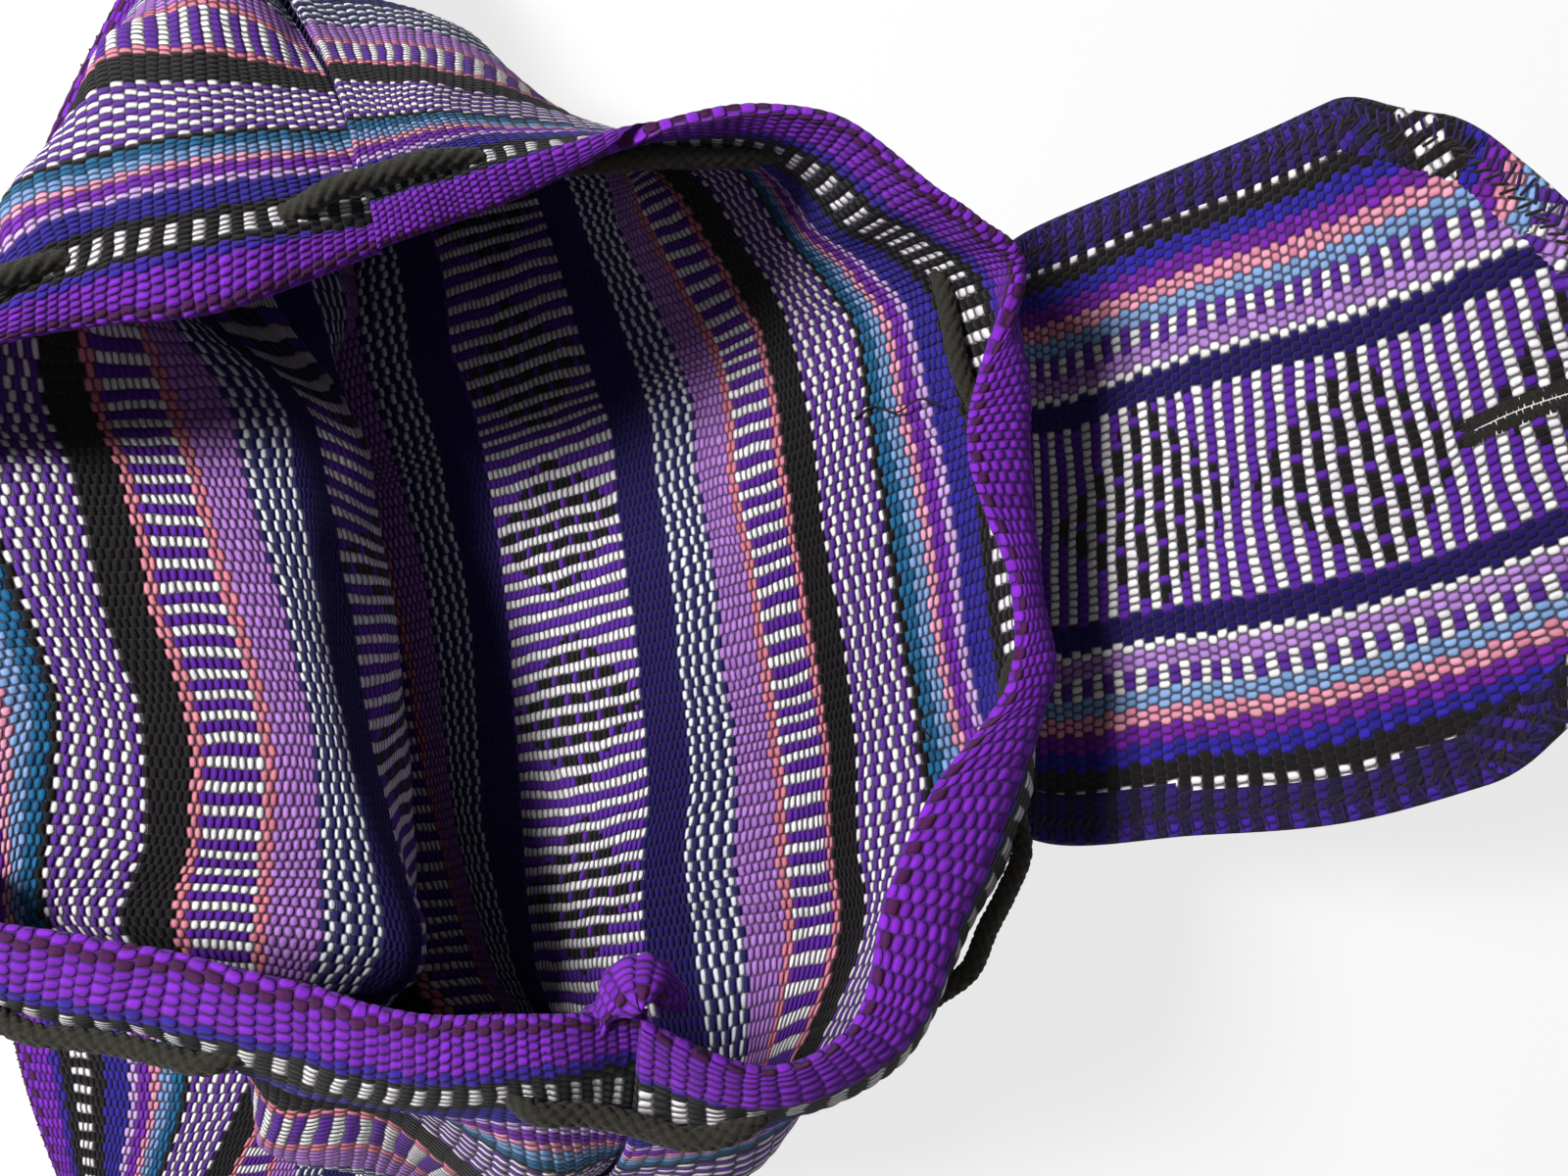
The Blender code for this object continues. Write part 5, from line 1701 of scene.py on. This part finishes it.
@dataclass
class Button:
    """A round wooden button with a raised rim and two holes."""

    shank: float = 0.8
    column: float = 39.0
    depth: float = 12.5
    thickness: float = 4.0
    facets: int = 72
    # The turned profile, as radius and height, from the middle of the dished front to the middle of the back.
    profile: tuple[tuple[float, float], ...] = (
        (0.0, 1.1), (9.5, 1.1), (11.2, 1.7), (12.4, 2.0), (13.6, 1.8), (14.7, 1.0),
        (15.0, 0.0), (14.7, -1.0), (13.8, -1.8), (12.0, -2.0), (0.0, -2.0),
    )
    hole: float = 1.5
    hole_facets: int = 20
    spacing: float = 7.0
    drilled: float = 12.0

    def disc(self) -> tuple[Array, list[Any]]:
        """The profile, turned round the button's axis.

        Returns:
            The vertices round the origin, and the faces.
        """
        count = self.facets
        angles = np.linspace(0, 2 * np.pi, count, endpoint=False)
        circle = np.stack([np.cos(angles), np.sin(angles), np.zeros(count)], axis=1)
        rings = [r * circle + (0.0, 0.0, z) for r, z in self.profile[1:-1]]
        ends = [[[0.0, 0.0, z]] for _, z in (self.profile[0], self.profile[-1])]
        vertices = np.concatenate([ends[0], *rings, ends[1]])
        starts = range(1, len(vertices) - 1, count)
        faces: list[Any] = []
        for j in range(count):
            k = (j + 1) % count
            faces.append((0, 1 + j, 1 + k))
            faces.extend((a + j, b + j, b + k, a + k) for a, b in zip(starts, starts[1:]))
            faces.append((starts[-1] + j, len(vertices) - 1, starts[-1] + k))
        return vertices, faces

    def build(self) -> None:
        """The button in its place on the outside of the front panel."""
        point = front_surface([self.column], [self.depth])[0, 0]
        way = -outward(front_surface, [self.column], self.depth)[0]
        centre = point + way * (CLOTH / 2 + self.shank + self.thickness / 2)
        turn = Vector(way).to_track_quat("Z", "Y").to_matrix()
        vertices, faces = self.disc()
        made = mesh_of("button_disc", centre + vertices @ np.array(turn).T, faces, TurnedWood().build())
        for side in (-1, 1):
            size = {"radius": self.hole * MM, "depth": self.drilled * MM}
            bpy.ops.mesh.primitive_cylinder_add(vertices=self.hole_facets, **size)
            drill = bpy.context.active_object
            drill.data.transform(turn.to_4x4())
            middle = centre + np.array(turn) @ (side * self.spacing / 2, 0.0, 0.0) + SHIFT
            drill.data.transform(Matrix.Translation(Vector(middle * MM)))
            cut(made, drill)
        enter(made, "button")


@dataclass
class Stitching:
    """Thread laid along a line, made by a node tree that puts one stitch on each point."""

    name: str
    length: float
    thickness: float
    finish: Material
    seed: int = 7
    # A stitch is an arc whose ends dip under the cloth, in radii of its thread, and this is how round it is.
    rise: float = 0.9
    dip: float = -0.5
    facets: int = 5

    def tree(self) -> NodeTree:
        """The node tree: a rounded stitch on every point, along the way and over the cloth that it gives.

        Returns:
            The tree, with named inputs.
        """
        made = bpy.data.node_groups.new("stitches_" + self.name, "GeometryNodeTree")
        add = partial(add_node, made)
        face = made.interface
        face.new_socket("Points", in_out="INPUT", socket_type="NodeSocketGeometry")
        for label in ("Stitch Length", "Thread Radius", "Unevenness"):
            face.new_socket(label, in_out="INPUT", socket_type="NodeSocketFloat")
        face.new_socket("Seed", in_out="INPUT", socket_type="NodeSocketInt")
        face.new_socket("Stitches", in_out="OUTPUT", socket_type="NodeSocketGeometry")
        given = made.nodes.new("NodeGroupInput").outputs
        radius = given["Thread Radius"]
        # One stitch, along X.
        half = add("ShaderNodeMath", {0: given["Stitch Length"], 1: 0.5}, operation="MULTIPLY")
        back = add("ShaderNodeMath", {0: half, 1: -1.0}, operation="MULTIPLY")
        rise = add("ShaderNodeMath", {0: radius, 1: self.rise}, operation="MULTIPLY")
        dip = add("ShaderNodeMath", {0: radius, 1: self.dip}, operation="MULTIPLY")
        inputs = {
            "Resolution": self.facets,
            "Start": add("ShaderNodeCombineXYZ", {0: back, 2: dip}),
            "Middle": add("ShaderNodeCombineXYZ", {2: rise}),
            "End": add("ShaderNodeCombineXYZ", {0: half, 2: dip}),
        }
        arc = add("GeometryNodeCurveQuadraticBezier", inputs)
        ring = add("GeometryNodeCurvePrimitiveCircle", {"Resolution": self.facets, "Radius": radius})
        stitch = add("GeometryNodeCurveToMesh", {"Curve": arc, "Profile Curve": ring, "Fill Caps": True})
        # Its direction, turned a little by hand.
        way = add("GeometryNodeInputNamedAttribute", {"Name": "way"}, data_type="FLOAT_VECTOR")
        up = add("GeometryNodeInputNamedAttribute", {"Name": "up"}, data_type="FLOAT_VECTOR")
        turned = add("FunctionNodeAlignRotationToVector", {"Vector": up}, axis="Z")
        inputs = {"Rotation": turned, "Vector": way}
        turned = add("FunctionNodeAlignRotationToVector", inputs, axis="X", pivot_axis="Z")
        inputs = {2: -1.0, 3: 1.0, "Seed": given["Seed"]}
        swing = add("FunctionNodeRandomValue", inputs, 1, data_type="FLOAT")
        swing = add("ShaderNodeMath", {0: swing, 1: given["Unevenness"]}, operation="MULTIPLY")
        swing = add("ShaderNodeCombineXYZ", {2: swing})
        inputs = {"Rotation": turned, "Rotate By": swing}
        turned = add("FunctionNodeRotateRotation", inputs, rotation_space="LOCAL")
        inputs = {"Points": given["Points"], "Instance": stitch, "Rotation": turned}
        laid = add("GeometryNodeInstanceOnPoints", inputs)
        real = add("GeometryNodeRealizeInstances", {"Geometry": laid})
        smooth = add("GeometryNodeSetShadeSmooth", {"Geometry": real})
        dressed = add("GeometryNodeSetMaterial", {"Geometry": smooth, "Material": self.finish})
        made.links.new(dressed, made.nodes.new("NodeGroupOutput").inputs["Stitches"])
        return made

    def build(self, points: Array, ways: Array, ups: Array, slot: str, uneven: float) -> None:
        """Lays the stitches.

        Args:
            points: Where each stitch is, in millimetres.
            ways: The direction each one runs in.
            ups: The way out of the cloth under each one.
            slot: Not used.
            uneven: The most that a stitch is turned by hand, in radians.
        """
        mesh = bpy.data.meshes.new(self.name + "_points")
        mesh.from_pydata(((points + SHIFT) * MM).tolist(), [], [])
        for label, values in (("way", unit(ways)), ("up", unit(ups))):
            layer = mesh.attributes.new(label, "FLOAT_VECTOR", "POINT")
            layer.data.foreach_set("vector", values.astype(np.float32).reshape(-1))
        source = linked(self.name + "_points", mesh)
        modifier = source.modifiers.new("Stitches", "NODES")
        modifier.node_group = self.tree()
        sizes = {
            "Stitch Length": self.length * MM,
            "Thread Radius": self.thickness / 2 * MM,
            "Unevenness": uneven,
            "Seed": self.seed,
        }
        for item in modifier.node_group.interface.items_tree:
            if item.in_out == "INPUT" and item.name in sizes:
                modifier[item.identifier] = sizes[item.name]
        made = evaluated_mesh(source)
        bpy.data.objects.remove(source)
        enter(place(self.name, made, self.finish))
        LOG.info("%s: %d stitches", self.name, len(points))


@dataclass
class SeamTab:
    """The end of the mouth's hem, curled over on itself at the second side seam."""

    way: tuple[tuple[float, float, float], ...] = (
        (-44, -99, 120), (-40, -92, 125), (-35, -86, 128), (-31, -82, 129.5), (-27, -82, 129),
        (-24, -85, 126), (-26, -90, 121),
    )
    half_height: float = 5.2
    half_thickness: float = 2.7
    lean: float = 40.0
    step: float = 0.8
    facets: int = 28
    rib_height: float = 0.1
    # Waves along the roll: each one's height as a share of the roll, how close it is and where it starts.
    waves: tuple[tuple[float, float, float], ...] = ((0.16, 1.9, 0.6), (0.08, 4.1, 0.0))
    rounding: float = 0.5
    bluntness: float = 0.06
    pinch: float = 0.22
    pinch_turns: float = 1.7
    colours_from_rim: float = 0.9

    def build(self, finish: Material) -> None:
        """A flattened roll of cloth with the hem's own colours.

        Args:
            finish: The cloth's material.
        """
        line = even(np.array(self.way, float), self.step)
        tangents = unit(np.gradient(line, axis=0))
        side = unit(np.cross(tangents, UP))
        lean = math.radians(self.lean)
        tall = side * math.sin(lean) + UP * math.cos(lean)
        thin = np.cross(tangents, tall)
        angles = np.linspace(0, 2 * np.pi, self.facets, endpoint=False)
        along = np.arange(len(line)) * self.step / PITCH
        size = 1 + self.rib_height * (np.abs(np.sin(2 * np.pi * along)) - 0.5)
        for height, close, start in self.waves:
            size = size + height * np.sin(close * along + start)
        ends = np.minimum(along, along[::-1]) / self.rounding
        size = size * np.sqrt(np.clip(ends, self.bluntness, 1))
        pinch = 1 + self.pinch * np.sin(2 * angles[None, :] + self.pinch_turns * along[:, None])
        ring = tall[:, None] * (self.half_height * np.cos(angles)[None, :] * pinch)[..., None]
        ring = ring + thin[:, None] * (self.half_thickness * np.sin(angles))[None, :, None]
        vertices = (line[:, None] + ring * size[:, None, None]).reshape(-1, 3)
        down = np.cos(angles) * self.half_height / PITCH - PANEL_DEPTH / 2 - self.colours_from_rim
        u, v = np.meshgrid(along, down, indexing="ij")
        uvs = np.stack([u, v], axis=-1).reshape(-1, 2)
        made = mesh_of("seam_tab", vertices, tube_faces(len(line), self.facets), finish, uvs)
        enter(made)


@dataclass
class Sewing:
    """All the thread of the bag. Sizes on the cloth are in pitches, and the others are in millimetres."""

    flap: Flap
    black: Material
    navy: Material
    overcast_spacing: float = 0.62
    bottom_from: float = 0.5
    bottom_lift: float = 0.3
    sides_from: float = 2.9
    side_lift: float = 0.1
    above_bottom: float = 0.4
    overlock_spacing: float = 0.46
    overlock_from: float = 0.1
    overlock_hinge: float = -1.6
    overlock_lift: float = 0.1
    satin_spacing: float = 0.11
    satin_overrun: float = 0.1
    satin_ends: float = 0.16
    satin_offset_mm: float = 1.7
    satin_lift: float = 0.15
    # The grid on which the flap's middle is read, from a little beyond the hinge to the tip.
    grid_from: float = -2.0
    grid_rows: int = 60
    grid_columns: int = 41
    stray_step: float = 0.6
    stray_radius: float = 0.3
    stray_facets: int = 8

    def bottom_seam(self) -> None:
        """Overcast stitches that join the two panels along the bottom."""
        columns = np.arange(self.bottom_from, PANEL_WIDTH, self.overcast_spacing)
        depths = [PANEL_DEPTH - self.above_bottom, PANEL_DEPTH]
        back, front = back_surface(columns, depths), front_surface(columns, depths)
        out = unit(back[:, 1] - back[:, 0])
        middle = (back[:, 1] + front[:, 1]) / 2 + out * self.bottom_lift
        seam = Stitching("bottom_seam_overcast", length=4.2, thickness=0.7, finish=self.black)
        seam.build(middle, front[:, 1] - back[:, 1], out, "woven_cotton", uneven=0.15)

    def side_seams(self) -> None:
        """Overcast stitches down both side seams."""
        depths = np.arange(self.sides_from, PANEL_DEPTH - self.above_bottom, self.overcast_spacing)
        for label, edge, inward in (("first", 0.0, 1), ("second", PANEL_WIDTH, -1)):
            rim, beside = back_surface([edge], depths)[0], back_surface([edge + inward], depths)[0]
            inner = front_surface([edge], depths)[0]
            out = unit(rim - beside)
            middle = (rim + inner) / 2 + out * self.side_lift
            seam = Stitching(f"{label}_side_seam_overcast", length=2.6, thickness=0.5, finish=self.navy)
            seam.build(middle, inner - rim, out, "woven_cotton", uneven=0.15)

    def on_flap(self, places: Array, ways: Array) -> tuple[Array, Array, Array]:
        """Lays places and directions of the flap's weave on its middle surface.

        Args:
            places: How far along the flap and across it each place is, in pitches.
            ways: A direction at each place, along the flap and across it.

        Returns:
            The points, the directions and the way up at each of them.
        """
        lengths = np.linspace(self.grid_from, self.flap.tip_length, self.grid_rows)
        widths = np.linspace(-self.flap.half_width, self.flap.half_width, self.grid_columns)
        grid = self.flap.surface(lengths, widths)
        low = np.array([lengths[0], widths[0]])
        high = np.array([lengths[-1], widths[-1]])
        last = np.array(grid.shape[:2]) - 1
        at = np.clip((places - low) / (high - low) * last, 0, last - 0.001)
        a, b = at.astype(int).T
        s, t = (at % 1).T[..., None]

        def read(values: Array) -> Array:
            """Values between the grid's own, one row for each place."""
            first, second = (values[row, b] * (1 - t) + values[row, b + 1] * t for row in (a, a + 1))
            return first * (1 - s) + second * s

        along, beside = (unit(read(np.gradient(grid, axis=axis))) for axis in (0, 1))
        ups = read(-grid_normals(grid))
        return read(grid), ways[:, :1] * along + ways[:, 1:] * beside, unit(ups * np.sign(ups[:, 2:]))

    def flap_edge(self) -> None:
        """Overlocked thread along the flap's turned hems: navy along the edge, black further in."""
        corners = [(self.overlock_hinge, self.flap.half_width), *FLAP_OUTLINE[1:]]
        line = np.array(corners + [(u, -v) for u, v in reversed(corners)])
        steps = travelled(line)
        line = between(steps, line, np.arange(self.overlock_from, steps[-1], self.overlock_spacing))
        way = unit(np.gradient(line, axis=0))
        inward = np.stack([way[:, 1], -way[:, 0]], axis=1)
        # Each row: its name, how far in from the edge it is, a stitch's length, how far it leans, its thread.
        rows = (("edge", 0.62, 4.4, 0.5, self.navy), ("inner", 1.15, 3.4, -0.9, self.black))
        for label, inset, length, lean, finish in rows:
            points, ways, ups = self.on_flap(line + inward * inset, inward + way * lean)
            seam = Stitching(f"flap_{label}_overlock", length, thickness=0.75, finish=finish)
            points = points + ups * (HEM / 2 + self.overlock_lift)
            seam.build(points, ways, ups, "flap_cotton", uneven=0.45)

    def buttonhole(self) -> None:
        """Close black satin stitches round the slot: its two long sides, then its two ends."""
        half, wide = self.flap.slot_length / 2 / PITCH, self.satin_offset_mm / PITCH
        run = np.arange(-half - self.satin_overrun, half + self.satin_overrun, self.satin_spacing)
        ends = np.arange(-wide - self.satin_ends, wide + self.satin_ends, self.satin_spacing)
        places = [np.stack([run, np.full(len(run), side * wide)], axis=1) for side in (-1, 1)]
        end = half + self.satin_ends
        places += [np.stack([np.full(len(ends), side * end), ends], axis=1) for side in (-1, 1)]
        ways = np.repeat([[0.0, 1.0], [1.0, 0.0]], [2 * len(run), 2 * len(ends)], axis=0)
        points, laid, ups = self.on_flap(np.concatenate(places) + (self.flap.slot_at, 0.0), ways)
        points = points + ups * (CLOTH / 2 + self.satin_lift)
        seam = Stitching("buttonhole_satin", length=2.9, thickness=0.75, finish=self.black)
        seam.build(points, laid, ups, "flap_cotton", uneven=0.2)

    def loose_threads(self) -> None:
        """Short ends of black thread that were left on the cloth."""
        for name, line in STRAY_THREADS.items():
            path = even(np.array(line, float), self.stray_step)
            vertices, faces = swept(path, np.full((len(path), self.stray_facets), self.stray_radius))
            enter(mesh_of(name, vertices, faces, self.black, turn_out=False))

    def build(self) -> None:
        """Every seam in turn."""
        self.bottom_seam()
        self.side_seams()
        self.flap_edge()
        self.buttonhole()
        self.loose_threads()


def main() -> None:
    """Builds the room and the bag."""
    logging.basicConfig(level=logging.INFO, format="%(message)s")
    Studio().build()
    Drawstring().build()
    cloth = HandwovenCotton("woven_cotton_striped", PANEL_BANDS, 5.5, 4.1, 9.4, 32.2).build()
    Panel("back_panel", back_surface, BACK_BARS).build(cloth)
    Panel("front_panel", front_surface, FRONT_BARS).build(cloth)
    flap = Flap()
    flap.build(HandwovenCotton("woven_cotton_flap", FLAP_BANDS, 4.8, 4.9, 10.3, 1.0).build())
    band = HandwovenCotton("woven_cotton_band", STRAP_BANDS, 6.0, 0.1, 90.0, 0.0).build()
    Strap("left_strap", LEFT_STRAP).build(band)
    Strap("right_strap", RIGHT_STRAP).build(band)
    Button().build()
    SeamTab().build(cloth)
    black = SpunThread("cotton_thread_black", "#15120F", "#2C2724", 0.3, 0.0002).build()
    navy = SpunThread("cotton_thread_navy", "#191238", "#34205E", 0.3, 0.0002).build()
    Sewing(flap, black, navy).build()


if __name__ == "__main__":
    main()
